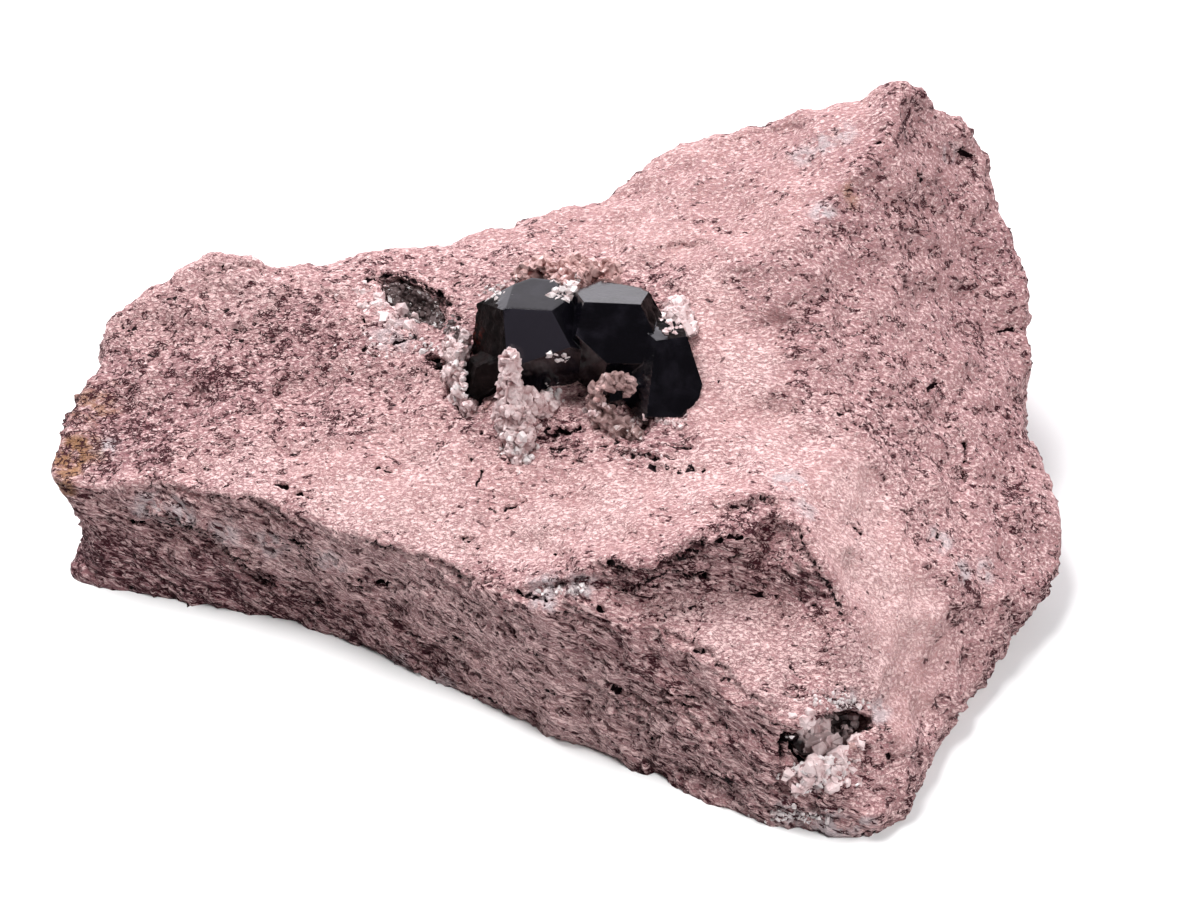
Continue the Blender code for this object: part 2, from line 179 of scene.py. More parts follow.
class Graph:
    """A short way to write a material's nodes."""

    def __init__(self, name: str) -> None:
        """Start a material that has one Principled shader.

        Args:
            name: the material's name.
        """
        self.material = bpy.data.materials.new(name)
        self.material.use_nodes = True
        self.tree = self.material.node_tree
        self.shader = self.tree.nodes["Principled BSDF"]
        self.place = self.tree.nodes.new("ShaderNodeTexCoord").outputs["Object"]

    def link(self, source: Socket, target: Socket) -> None:
        """Join two sockets."""
        self.tree.links.new(source, target)

    def set(self, **values: float) -> None:
        """Set plain numbers on the shader: roughness=..., ior=... and so on."""
        for key, value in values.items():
            self.shader.inputs[key.replace("_", " ").title().replace("Ior", "IOR")].default_value = value

    def stretched(self, turn: Matrix, stretch: Place) -> Socket:
        """Object coordinates for a pattern that is turned and drawn out.

        Args:
            turn: the pattern's own axes, as columns.
            stretch: how far the pattern is drawn out along each of them.

        Returns:
            The vector socket.
        """
        node = self.tree.nodes.new("ShaderNodeMapping")
        node.vector_type = "TEXTURE"
        self.link(self.place, node.inputs["Vector"])
        node.inputs["Rotation"].default_value = turn.to_euler()
        node.inputs["Scale"].default_value = stretch
        return node.outputs["Vector"]

    def noise(self, size: float, detail: float = 3.0, roughness: float = 0.55,
              vector: Socket | None = None) -> Socket:
        """Cloudy noise.

        Args:
            size: how wide its features are.
            detail: how many finer noises it holds.
            roughness: how strong the finer ones are.
            vector: the coordinates that it reads, if not the object's own.

        Returns:
            Its value, about 0.5 in the middle.
        """
        node = self.tree.nodes.new("ShaderNodeTexNoise")
        self.link(vector or self.place, node.inputs["Vector"])
        node.inputs["Scale"].default_value = 1.0 / (size * MM)
        node.inputs["Detail"].default_value = detail
        node.inputs["Roughness"].default_value = roughness
        return node.outputs["Fac"]

    def attribute(self, trait: Trait) -> Socket:
        """One trait that the mesh carries at each point.

        Args:
            trait: which one.

        Returns:
            Its value.
        """
        node = self.tree.nodes.new("ShaderNodeAttribute")
        node.attribute_name = trait.value
        return node.outputs["Fac"]

    def band(self, value: Socket, low: float, high: float,
             start: float = 0.0, end: float = 1.0) -> Socket:
        """Map low..high smoothly onto start..end, and hold it outside.

        Args:
            value: what is mapped.
            low: where the band begins.
            high: where it ends.
            start: the result at low and before it.
            end: the result at high and past it.

        Returns:
            The mapped value.
        """
        node = self.tree.nodes.new("ShaderNodeMapRange")
        node.interpolation_type = "SMOOTHSTEP"
        self.link(value, node.inputs["Value"])
        for key, number in (("From Min", low), ("From Max", high), ("To Min", start), ("To Max", end)):
            node.inputs[key].default_value = number
        return node.outputs["Result"]

    def line(self, value: Socket, width: float) -> Socket:
        """Thin lines where a noise crosses its middle value."""
        off = self.maths("ABSOLUTE", self.maths("SUBTRACT", value, 0.5), 0.0)
        return self.band(off, 0.25 * width, width, 1.0, 0.0)

    def maths(self, operation: str, first: Socket, second: Socket | float) -> Socket:
        """One Math node.

        Args:
            operation: what it works out.
            first: its first value.
            second: its second value, or a plain number.

        Returns:
            The result.
        """
        node = self.tree.nodes.new("ShaderNodeMath")
        node.operation = operation
        self.link(first, node.inputs[0])
        if isinstance(second, Socket):
            self.link(second, node.inputs[1])
        else:
            node.inputs[1].default_value = second
        return node.outputs[0]

    def times(self, first: Socket, second: Socket | float) -> Socket:
        """The product of two values."""
        return self.maths("MULTIPLY", first, second)

    def plus(self, first: Socket, second: Socket | float) -> Socket:
        """The sum of two values."""
        return self.maths("ADD", first, second)

    def minus(self, first: Socket, second: Socket | float) -> Socket:
        """The first value less the second."""
        return self.maths("SUBTRACT", first, second)

    def most(self, first: Socket, second: Socket | float) -> Socket:
        """The larger of two values."""
        return self.maths("MAXIMUM", first, second)

    def blend(self, share: Socket, first: Socket | Colour, second: Socket | Colour) -> Socket:
        """Mix two colours.

        Args:
            share: how much of the second there is.
            first: a socket or a plain colour.
            second: a socket or a plain colour.

        Returns:
            The mixed colour.
        """
        node = self.tree.nodes.new("ShaderNodeMix")
        node.data_type = "RGBA"
        self.link(share, node.inputs["Factor"])
        for key, colour in ((6, first), (7, second)):
            if isinstance(colour, Socket):
                self.link(colour, node.inputs[key])
            else:
                node.inputs[key].default_value = (*colour, 1.0)
        return node.outputs[2]

    def bump(self, height: Socket, depth: float) -> None:
        """Let a height tilt the surface.

        Args:
            height: the height, about 0 to 1.
            depth: how deep 1 is taken to be.
        """
        node = self.tree.nodes.new("ShaderNodeBump")
        node.inputs["Distance"].default_value = depth * MM
        node.inputs["Strength"].default_value = 1.0
        self.link(height, node.inputs["Height"])
        self.link(node.outputs["Normal"], self.shader.inputs["Normal"])


@dataclass(frozen=True)
class FlowBanding:
    """The rock's flow layers: which way they lie and which way they are drawn out."""

    normal: Place = (0.25, -0.15, 0.95)
    along: Place = (0.92, -0.15, -0.27)

    def axes(self) -> Matrix:
        """The pattern's own axes.

        Returns:
            Columns: along the flow, across it, through the layers.
        """
        through = Vector(self.normal).normalized()
        across = through.cross(Vector(self.along)).normalized()
        return Matrix((across.cross(through), across, through)).transposed()


@dataclass(frozen=True)
class RhyoliteFinish:
    """Granular pink volcanic rock with maroon flecks, pale grains, veins and a little rust, and painted
    light and shade on its relief.

    A band or a range holds the two values of a pattern between which it eases, and a band also
    holds what it eases from and to. A share says how strongly something is laid on.
    """

    pink: Colour = (0.60, 0.37, 0.365)
    mauve: Colour = (0.31, 0.16, 0.175)
    cream: Colour = (0.84, 0.60, 0.59)
    crease: Colour = (0.27, 0.105, 0.115)
    thread: Colour = (0.52, 0.27, 0.26)
    maroon: Colour = (0.055, 0.011, 0.017)
    shadow: Colour = (0.014, 0.005, 0.007)
    vein: Colour = (0.60, 0.52, 0.54)
    ochre: Colour = (0.34, 0.17, 0.08)
    mottle_size: float = 4.5
    mottle_band: Band = (0.42, 0.68, 0.0, 0.30)
    grain_size: float = 0.25
    pale_and_lit_grains: Band = (0.50, 0.58, 0.0, 0.75)
    grain_shade: Band = (0.49, 0.38, 0.0, 0.55)
    crease_size: float = 0.36
    crease_width: float = 0.06
    crease_share: float = 0.65
    pale_share: float = 0.55
    pale_on_walls: Band = (0.0, 0.6, 1.0, 0.9)
    patch_size: float = 4.4
    patch_band: Band = (0.42, 0.66, 0.0, 0.11)
    fleck_size: float = 0.80
    fleck_width: float = 0.036
    dash_size: float = 0.42
    dash_width: float = 0.056
    gate_size: float = 0.60
    fleck_gate: Range = (0.57, 0.66)
    more_flecks: tuple[tuple[Trait, float], ...] = ((Trait.MAUVE_AND_SHADE, 0.13), (Trait.WALL, 0.01))
    fewer_flecks: tuple[tuple[Trait, float], ...] = ((Trait.PALE_AND_LIT, 0.10), (Trait.CLEAN, 0.14))
    shaded_troughs: Range = (0.445, 0.415)
    steep: Range = (0.2, 0.9)
    trough_on_clean: Band = (0.0, 0.4, 1.0, 0.15)
    trough_gate: Band = (0.53, 0.61, 0.08, 1.0)
    vein_size: float = 0.9
    vein_band: Band = (0.36, 0.58, 0.0, 0.8)
    stain_size: float = 1.2
    stain_band: Range = (0.35, 0.60)
    ragged_size: float = 0.40
    ragged_reach: float = 1.3
    ragged_edge: Range = (0.36, 0.47)
    hollow_share: float = 0.8
    dust_size: float = 0.15
    dust_height: float = 0.45
    fleck_sink: float = 0.6
    crease_sink: float = 0.25
    wall_relief: float = 1.7
    bump_depth: float = 0.27
    roughness: float = 0.82
    gloss: float = 0.25
    top_stretch: Place = (1.6, 1.0, 1.0)
    wall_stretch: Place = (3.0, 1.4, 0.75)
    flow: FlowBanding = FlowBanding()

    def material(self) -> bpy.types.Material:
        """Build the material.

        Returns:
            The finished material.
        """
        graph = Graph("rhyolite")
        top = graph.stretched(Matrix.Identity(3), self.top_stretch)
        side = graph.stretched(self.flow.axes(), self.wall_stretch)
        traits = {trait: graph.attribute(trait) for trait in Trait}
        wall = traits[Trait.WALL]

        def both(size: float, detail: float = 3.0, roughness: float = 0.6) -> Socket:
            """A noise that is lightly drawn out on the top and strongly on the walls.

            Args:
                size: how wide its features are.
                detail: how many finer noises it holds.
                roughness: how strong the finer ones are.

            Returns:
                Its value.
            """
            node = graph.tree.nodes.new("ShaderNodeMix")
            graph.link(wall, node.inputs["Factor"])
            graph.link(graph.noise(size, detail, roughness, top), node.inputs["A"])
            graph.link(graph.noise(size, detail, roughness, side), node.inputs["B"])
            return node.outputs["Result"]

        ragged = graph.times(graph.minus(both(self.ragged_size), 0.5), self.ragged_reach)

        def broken(trait: Trait) -> Socket:
            """A trait with a crisp, ragged edge in place of its soft one."""
            return graph.band(graph.plus(traits[trait], ragged), *self.ragged_edge)

        traits[Trait.PALE_AND_LIT] = graph.times(traits[Trait.PALE_AND_LIT], graph.band(wall, *self.pale_on_walls))
        mottle = graph.band(graph.noise(self.mottle_size, 4.0, 0.6), *self.mottle_band)
        # Random mauve mottling, and the mauve ground, which is partly painted shade.
        colour = graph.blend(graph.most(mottle, traits[Trait.MAUVE_AND_SHADE]), self.pink, self.mauve)
        # Pale cream ground, partly the rock's own and partly painted light.
        colour = graph.blend(graph.times(traits[Trait.PALE_AND_LIT], self.pale_share), colour, self.cream)

        grain = both(self.grain_size)
        # Cream on the grain's high places, partly pale grains and partly a painted highlight; mauve on
        # its low places is painted shade.
        colour = graph.blend(graph.band(grain, *self.pale_and_lit_grains), colour, self.cream)
        colour = graph.blend(graph.band(grain, *self.grain_shade), colour, self.mauve)
        crease = graph.line(both(self.crease_size), self.crease_width)
        tint = graph.blend(traits[Trait.CLEAN], self.crease, self.thread)
        colour = graph.blend(graph.times(crease, self.crease_share), colour, tint)

        patch = graph.band(graph.noise(self.patch_size, 3.0, 0.6), *self.patch_band)
        for trait, share in self.more_flecks:
            patch = graph.plus(patch, graph.times(traits[trait], share))
        for trait, share in self.fewer_flecks:
            patch = graph.minus(patch, graph.times(traits[trait], share))
        flecks = graph.line(both(self.fleck_size), self.fleck_width)
        dashes = graph.line(both(self.dash_size, 2.0, 0.5), self.dash_width)
        gate = graph.plus(both(self.gate_size, 2.0, 0.5), patch)
        fleck_and_shade = graph.times(graph.most(flecks, dashes), graph.band(gate, *self.fleck_gate))
        # Painted shade in the grain's low places on the steep walls, as dark as the flecks.
        trough_shade = graph.times(graph.band(grain, *self.shaded_troughs), graph.band(wall, *self.steep))
        trough_shade = graph.times(trough_shade, graph.band(traits[Trait.CLEAN], *self.trough_on_clean))
        fleck_and_shade = graph.most(fleck_and_shade, graph.times(trough_shade, graph.band(gate, *self.trough_gate)))

        cloud = graph.band(graph.noise(self.vein_size), *self.vein_band)
        colour = graph.blend(graph.times(traits[Trait.VEIN], cloud), colour, self.vein)
        cloud = graph.band(graph.noise(self.stain_size), *self.stain_band)
        colour = graph.blend(graph.times(traits[Trait.STAIN], cloud), colour, self.ochre)
        # Real maroon flecks, with painted shade in the grain's low places and in the hollows.
        dark = graph.most(fleck_and_shade, graph.times(broken(Trait.HOLLOW_SHADE), self.hollow_share))
        colour = graph.blend(dark, colour, self.maroon)
        # Painted shade in the cracks and fissures and under the broken edges.
        colour = graph.blend(broken(Trait.SHADE_AND_DULL), colour, self.shadow)
        graph.link(colour, graph.shader.inputs["Base Color"])

        height = graph.minus(grain, graph.times(fleck_and_shade, self.fleck_sink))
        height = graph.minus(height, graph.times(crease, self.crease_sink))
        height = graph.plus(height, graph.times(graph.noise(self.dust_size, 2.0), self.dust_height))
        height = graph.times(height, graph.band(wall, *self.steep, 1.0, self.wall_relief))
        graph.bump(height, self.bump_depth)
        graph.set(roughness=self.roughness, specular_ior_level=self.gloss)
        return graph.material


@dataclass(frozen=True)
class GarnetFinish:
    """Near-black garnet: glossy faces, faint growth marks, rusty, dull places and a painted sheen on
    some facets.
    """

    name: str = "garnet"
    black: Colour = (0.0025, 0.0022, 0.0035)
    smoke: Colour = (0.010, 0.009, 0.013)
    rust: Colour = (0.12, 0.016, 0.010)
    painted_sheen: Colour = (0.019, 0.017, 0.023)
    refraction: float = 1.54
    polish: Range = (0.04, 0.16)
    grain_size: float = 0.5
    grain_depth: float = 0.012
    smoke_size: float = 2.2
    smoke_band: Band = (0.42, 0.68, 0.0, 0.8)
    rust_size: float = 0.7
    rust_band: Range = (0.50, 0.62)
    polish_size: float = 1.1
    polish_band: Range = (0.45, 0.70)

    def material(self) -> bpy.types.Material:
        """Build the material.

        Returns:
            The finished material.
        """
        graph = Graph(self.name)
        cloud = graph.band(graph.noise(self.smoke_size, 4.0, 0.6), *self.smoke_band)
        colour = graph.blend(cloud, self.black, self.smoke)
        # Painted sheen: a lighter grey on the facets that face one way.
        colour = graph.blend(graph.attribute(Trait.PALE_AND_LIT), colour, self.painted_sheen)
        rust = graph.times(graph.attribute(Trait.STAIN),
                           graph.band(graph.noise(self.rust_size, 3.0, 0.6), *self.rust_band))
        colour = graph.blend(rust, colour, self.rust)
        graph.link(colour, graph.shader.inputs["Base Color"])
        dull = graph.band(graph.noise(self.polish_size, 5.0, 0.65), *self.polish_band, *self.polish)
        graph.link(dull, graph.shader.inputs["Roughness"])
        graph.bump(graph.noise(self.grain_size, 4.0, 0.7), self.grain_depth)
        graph.set(ior=self.refraction)
        return graph.material


@dataclass(frozen=True)
class QuartzFinish:
    """Milky quartz, partly see-through, dusty pink in places, with painted shade in that colour in its
    hollows.
    """

    name: str = "quartz"
    white: Colour = (0.90, 0.84, 0.83)
    dust_and_shade: Colour = (0.62, 0.36, 0.35)
    dust_reach: float = 0.55
    see_through: float = 0.35
    refraction: float = 1.54
    roughness: float = 0.28
    dust_size: float = 0.9
    dust_band: Band = (0.62, 0.78, 0.0, 0.9)
    reach_shift: float = 0.3
    grain_size: float = 0.22
    grain_depth: float = 0.05

    def material(self) -> bpy.types.Material:
        """Build the material.

        Returns:
            The finished material.
        """
        graph = Graph(self.name)
        low, *rest = self.dust_band
        low -= self.reach_shift * self.dust_reach
        dusty = graph.band(graph.noise(self.dust_size, 4.0, 0.6), low, *rest)
        colour = graph.blend(dusty, self.white, self.dust_and_shade)
        # Painted shade in the hollows, in the dusty colour.
        colour = graph.blend(graph.attribute(Trait.HOLLOW_SHADE), colour, self.dust_and_shade)
        graph.link(colour, graph.shader.inputs["Base Color"])
        graph.bump(graph.noise(self.grain_size), self.grain_depth)
        graph.set(ior=self.refraction, roughness=self.roughness, transmission_weight=self.see_through)
        return graph.material


# ---- working on meshes --------------------------------------------------------------------------

Layers = dict[Trait, bmesh.types.BMLayerItem]
Freedom = dict[bmesh.types.BMVert, float]
TOUCHING = 1e-6
FLAKE_WARP: Range = (1.6, 0.22)
FLAKE_TILT = 1.4
FLAKE_MIX = 37.0
WANDER_WIDE: Range = (0.9, 0.35)
WANDER_FINE: Range = (0.35, 0.15)


def object_from(name: str, bm: bmesh.types.BMesh, material: bpy.types.Material,
                replaced: tuple[str, ...] = ()) -> bpy.types.Object:
    """Make a finished piece of the specimen out of a bmesh.

    Args:
        name: the piece's name.
        bm: its shape in metres; it is freed.
        material: its finish.
        replaced: the CAD nodes that it stands for.

    Returns:
        The new object, riding on the specimen's only body.
    """
    mesh = bpy.data.meshes.new(name)
    bm.to_mesh(mesh)
    bm.free()
    mesh.materials.append(material)
    piece = bpy.data.objects.new(name, mesh)
    bpy.context.scene.collection.objects.link(piece)
    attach(piece, BODY)
    if replaced:
        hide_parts(*replaced)
    LOG.info("%s: %d triangles", name, sum(face.loop_total - 2 for face in mesh.polygons))
    return piece


def node_shape(node: str) -> bmesh.types.BMesh:
    """A closed copy of a CAD node's mesh.

    Args:
        node: the node's name.

    Returns:
        The shape, in metres.
    """
    bm = bmesh.new()
    bm.from_mesh(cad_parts[node].data)
    bmesh.ops.remove_doubles(bm, verts=bm.verts, dist=TOUCHING)
    return bm


def node_surface(node: str) -> BVHTree:
    """A CAD node's surface, for finding the nearest point on it.

    Args:
        node: the node's name.

    Returns:
        The surface, in metres.
    """
    bm = node_shape(node)
    tree = BVHTree.FromBMesh(bm)
    bm.free()
    return tree


def modified(bm: bmesh.types.BMesh, kind: str, **settings: float | str) -> bmesh.types.BMesh:
    """Put a shape through one modifier.

    Args:
        bm: the shape; it is freed.
        kind: the modifier.
        settings: its settings.

    Returns:
        The changed shape.
    """
    mesh = bpy.data.meshes.new("rough_out")
    bm.to_mesh(mesh)
    bm.free()
    scratch = bpy.data.objects.new("rough_out", mesh)
    bpy.context.scene.collection.objects.link(scratch)
    modifier = scratch.modifiers.new("change", kind)
    for key, value in settings.items():
        setattr(modifier, key, value)
    depsgraph = bpy.context.evaluated_depsgraph_get()
    changed = bmesh.new()
    changed.from_mesh(scratch.evaluated_get(depsgraph).to_mesh())
    bpy.data.objects.remove(scratch, do_unlink=True)
    bpy.data.meshes.remove(mesh)
    return changed


def remeshed(bm: bmesh.types.BMesh, voxel: float) -> bmesh.types.BMesh:
    """Replace a closed shape by an even net of squares, as wide as the voxel."""
    return modified(bm, "REMESH", mode="VOXEL", voxel_size=voxel * MM)


def smooth(bm: bmesh.types.BMesh, passes: int) -> None:
    """Take the steps out of a net.

    Args:
        bm: the net.
        passes: how many times each point moves half way to its neighbours' middle.
    """
    for _ in range(passes):
        bmesh.ops.smooth_vert(bm, verts=bm.verts, factor=0.5, use_axis_x=True, use_axis_y=True,
                              use_axis_z=True)
    bm.normal_update()


def rugged(place: Vector, octaves: int, falloff: float = 1.0) -> float:
    """Noise with finer noise on it, each octave half as wide as the last."""
    return noise.fractal(place, falloff, 2.0, octaves)


def flake(place: Vector) -> float:
    """The height of flaky ground, where each flake has its own level and tilt.

    Args:
        place: where, in flake widths.

    Returns:
        The height, from about -1 to 1.
    """
    pitch, reach = FLAKE_WARP
    spot = place + noise.noise_vector(place * pitch) * reach
    centre = noise.voronoi(spot)[1][0]
    own = noise.cell_vector(centre * FLAKE_MIX) - Vector((0.5, 0.5, 0.5))
    return own.z + FLAKE_TILT * (spot - centre).dot(own)


def wander(place: Vector) -> Vector:
    """How far a broken line strays from its path at a place, both in millimetres."""
    wide, fine = (noise.noise_vector(place / size) * reach for size, reach in (WANDER_WIDE, WANDER_FINE))
    return wide + fine


def off_span(vert: bmesh.types.BMVert, start: Vector, end: Vector) -> tuple[float, Vector]:
    """Where a point lies by a span of a broken line.

    Args:
        vert: the point.
        start: where the span begins, in metres.
        end: where it ends.

    Returns:
        How far along the span it is, 0 to 1, and the way to it from there, in metres.
    """
    along = end - start
    place = vert.co + wander(vert.co / MM) * MM
    share = min(1.0, max(0.0, (place - start).dot(along) / along.length_squared))
    return share, place - start - along * share


def tree_of(places: list[Vector]) -> KDTree:
    """A look-up of places by nearness.

    Args:
        places: the places, in metres.

    Returns:
        The look-up, which gives back their numbers in the list.
    """
    tree = KDTree(len(places))
    for index, place in enumerate(places):
        tree.insert(place, index)
    tree.balance()
    return tree


def trait_layers(bm: bmesh.types.BMesh) -> Layers:
    """One number layer per trait."""
    return {trait: bm.verts.layers.float.new(trait.value) for trait in Trait}


def in_order(parts: set) -> list:
    """A set of a mesh's points, edges or faces as a list in the mesh's own order."""
    return sorted(parts, key=lambda part: part.index)


def bowl(vert: bmesh.types.BMVert) -> float:
    """How far a point lies below its neighbours.

    Args:
        vert: the point.

    Returns:
        The depth, in millimetres.
    """
    around = [edge.other_vert(vert).co for edge in vert.link_edges]
    middle = sum(around, Vector()) / len(around)
    return (middle - vert.co).dot(vert.normal) / MM


# ---- the rock -----------------------------------------------------------------------------------

@dataclass(frozen=True)
class Crack:
    """An open crack along places in the picture frame; dark says how much painted shade lies in it."""

    path: Path
    width: float = 0.35
    depth: float = 0.7
    dark: float = 1.0


@dataclass(frozen=True)
class Step:
    """A broken edge along places in the picture frame: the ground to the left of it stands proud."""

    path: Path
    rise: float = 0.30
    reach: float = 0.9
    # How much painted shade falls below the edge.
    dark: float = 0.6


@dataclass(frozen=True)
class Area:
    """Ground with a trait of its own, inside an outline in the picture frame."""

    trait: Trait
    strength: float
    outline: Path
    blur: float = 7.0

    def share(self, spot: Spot) -> float:
        """How far a place in the picture frame is inside.

        Args:
            spot: across and down.

        Returns:
            1 well inside, 0 well outside.
        """
        inside = False
        gap = math.inf
        across, down = spot
        for (x0, y0), (x1, y1) in zip(self.outline, self.outline[1:] + self.outline[:1]):
            wide, high = x1 - x0, y1 - y0
            if (y0 > down) != (y1 > down) and across < x0 + wide * (down - y0) / high:
                inside = not inside
            along = ((across - x0) * wide + (down - y0) * high) / (wide ** 2 + high ** 2)
            along = min(1.0, max(0.0, along))
            gap = min(gap, math.hypot(across - x0 - along * wide, down - y0 - along * high))
        return smoothstep(-self.blur, self.blur, gap if inside else -gap)


@dataclass(frozen=True)
class Patch:
    """A round area with a trait of its own, centred on a place in the picture frame."""

    trait: Trait
    spot: Spot
    radius: float
    strength: float = 1.0


def patches(trait: Trait, *rows: Row) -> tuple[Patch, ...]:
    """Patches of one trait, from rows of across, down, radius and strength."""
    return tuple(Patch(trait, row[:2], *row[2:]) for row in rows)


CRACKS = (
    Crack(((963, 428), (966, 450), (965, 480)), 0.17, 0.8),
    Crack(((276, 484), (292, 491), (312, 499)), 0.20, 0.6),
    Crack(((130, 521), (165, 524), (205, 536), (245, 560)), 0.20, 0.7),
    Crack(((541, 436), (565, 433), (594, 427)), 0.22, 0.9),
    Crack(((616, 594), (634, 588), (652, 582), (674, 574), (706, 577)), 0.34, 1.0),
    Crack(((652, 566), (676, 560), (700, 545), (735, 537), (764, 539)), 0.20, 0.6, 0.9),
    Crack(((700, 572), (724, 561), (750, 548)), 0.16, 0.5, 0.8),
    Crack(((735, 590), (775, 598), (812, 606)), 0.17, 0.5, 0.9),
    Crack(((664, 600), (690, 606), (720, 604)), 0.15, 0.4, 0.8),
    Crack(((508, 586), (518, 590), (530, 596), (545, 601)), 0.20, 0.6),
    Crack(((544, 608), (575, 610), (604, 608)), 0.26, 0.8),
    Crack(((593, 562), (604, 561), (616, 563)), 0.20, 0.5),
    Crack(((1000, 331), (1024, 328)), 0.20, 0.6),
    Crack(((852, 520), (858, 530), (868, 536)), 0.16, 0.5),
    Crack(((700, 379), (718, 383)), 0.16, 0.4),
    Crack(((456, 537), (467, 540), (478, 546)), 0.18, 0.6),
    Crack(((484, 508), (497, 512), (508, 508), (529, 499)), 0.17, 0.5),
    Crack(((538, 549), (557, 552)), 0.18, 0.5),
    Crack(((458, 572), (468, 583)), 0.18, 0.6),
    Crack(((290, 539), (305, 549)), 0.22, 0.7),
    Crack(((352, 578), (366, 579)), 0.20, 0.6),
    Crack(((379, 583), (389, 584)), 0.26, 0.7),
    Crack(((360, 536), (392, 547)), 0.17, 0.5),
    Crack(((380, 468), (394, 470)), 0.16, 0.4),
    Crack(((704, 652), (694, 650)), 0.18, 0.5),
    Crack(((615, 690), (624, 694)), 0.24, 0.6),
    Crack(((528, 650), (535, 655)), 0.22, 0.6),
    Crack(((614, 688), (650, 700), (700, 706)), 0.14, 0.4, 0.5),
    Crack(((936, 380), (928, 393)), 0.24, 0.5),
    Crack(((918, 170), (922, 180)), 0.26, 0.5),
    Crack(((962, 153), (974, 155)), 0.30, 0.6),
    Crack(((430, 359), (440, 365), (450, 357)), 0.36, 1.1),
    Crack(((368, 282), (384, 275), (402, 275), (420, 283), (438, 294), (452, 306)), 0.26, 0.5),
    Crack(((352, 334), (358, 340), (354, 346)), 0.16, 0.4, 0.9),
    Crack(((362, 350), (374, 358), (384, 356)), 0.18, 0.4, 0.9),
    Crack(((356, 312), (364, 322)), 0.18, 0.4, 0.8),
    Crack(((784, 738), (785, 752), (796, 763), (808, 758)), 0.40, 0.9),
    Crack(((790, 745), (800, 752)), 0.60, 1.0),
    Crack(((800, 737), (822, 729), (840, 715), (852, 718), (870, 729)), 0.30, 0.9),
    Crack(((876, 765), (886, 757), (902, 754)), 0.15, 0.4, 0.9),
    Crack(((870, 146), (884, 138)), 0.20, 0.3, 0.8),
    Crack(((480, 432), (500, 445), (512, 470)), 0.18, 0.4, 0.7),
    Crack(((930, 520), (945, 545), (960, 575)), 0.16, 0.4, 0.8),
    Crack(((628, 438), (655, 445), (690, 447)), 0.22, 0.5),
    Crack(((620, 452), (650, 459), (676, 458)), 0.20, 0.5),
    Crack(((646, 466), (675, 471), (704, 468)), 0.18, 0.4),
    Crack(((545, 430), (572, 427), (604, 420)), 0.24, 0.6),
    Crack(((552, 446), (580, 450), (606, 446)), 0.16, 0.4, 0.9),
    Crack(((600, 434), (616, 440), (632, 446)), 0.16, 0.4, 0.9),
    Crack(((470, 455), (482, 470), (476, 486)), 0.16, 0.4, 0.9),
    Crack(((366, 350), (392, 342), (412, 337)), 0.14, 0.3, 0.9),
)
STEPS = (
    Step(((585, 562), (611, 562), (635, 569), (652, 567), (672, 557), (689, 541), (706, 533),
          (740, 522)), 0.6, 1.6, 0.72),
    Step(((716, 512), (744, 500), (764, 495), (783, 504)), 0.35, 1.0, 0.7),
    Step(((783, 503), (803, 535), (806, 550), (820, 570), (833, 590), (843, 612),
          (845, 634)), 0.40, 1.0, 0.9),
    Step(((638, 616), (657, 619), (675, 636), (708, 651), (732, 673), (748, 690), (774, 704),
          (800, 718)), 0.25, 0.8, 0.3),
    Step(((144, 484), (180, 486), (210, 495), (258, 498), (276, 507), (300, 525)), 0.30, 0.8, 0.7),
    Step(((339, 533), (362, 539), (404, 551), (441, 560), (461, 572), (484, 584)), 0.25, 0.8, 0.5),
    Step(((492, 583), (517, 588), (545, 583), (570, 579), (590, 572), (600, 562)), 0.30, 0.8, 0.5),
    Step(((123, 517), (155, 516), (180, 521), (201, 530), (219, 542), (246, 566), (270, 581),
          (290, 593)), 0.45, 1.2, 0.8),
    Step(((476, 598), (500, 613), (516, 632), (530, 652)), 0.25, 0.8, 0.3),
    Step(((420, 590), (445, 622), (470, 650)), 0.22, 0.8, 0.3),
    Step(((548, 650), (590, 680), (640, 715)), 0.22, 0.9, 0.4),
    Step(((536, 434), (565, 430), (596, 424)), 0.35, 0.8, 0.9),
    Step(((604, 431), (630, 439), (652, 440)), 0.25, 0.6, 0.8),
    Step(((622, 447), (650, 455), (682, 452)), 0.25, 0.6, 0.8),
    Step(((652, 463), (678, 467), (702, 463)), 0.22, 0.6, 0.7),
    Step(((560, 455), (590, 462), (612, 460)), 0.18, 0.6, 0.5),
    Step(((690, 777), (711, 775), (732, 781), (750, 794)), 0.30, 0.8, 0.9),
    Step(((753, 805), (782, 807), (814, 814), (845, 814)), 0.30, 0.8, 0.7),
    Step(((640, 250), (700, 240), (750, 262)), 0.20, 1.0, 0.1),
    Step(((520, 215), (600, 196), (660, 184)), 0.18, 1.0, 0.1),
    Step(((700, 150), (760, 130), (820, 122)), 0.18, 1.0, 0.1),
    Step(((180, 250), (250, 262), (310, 256)), 0.20, 1.0, 0.1),
)
BACK_SLOPE = ((880, 60), (868, 153), (830, 198), (784, 248), (712, 264), (640, 262), (560, 245),
              (470, 240), (380, 250), (380, 180), (640, 60))
RIGHT_FACE = ((888, 98), (868, 153), (830, 198), (784, 248), (712, 264), (740, 310), (800, 370),
              (860, 410), (930, 440), (1000, 590), (1080, 560), (1060, 400), (1010, 200), (950, 100))
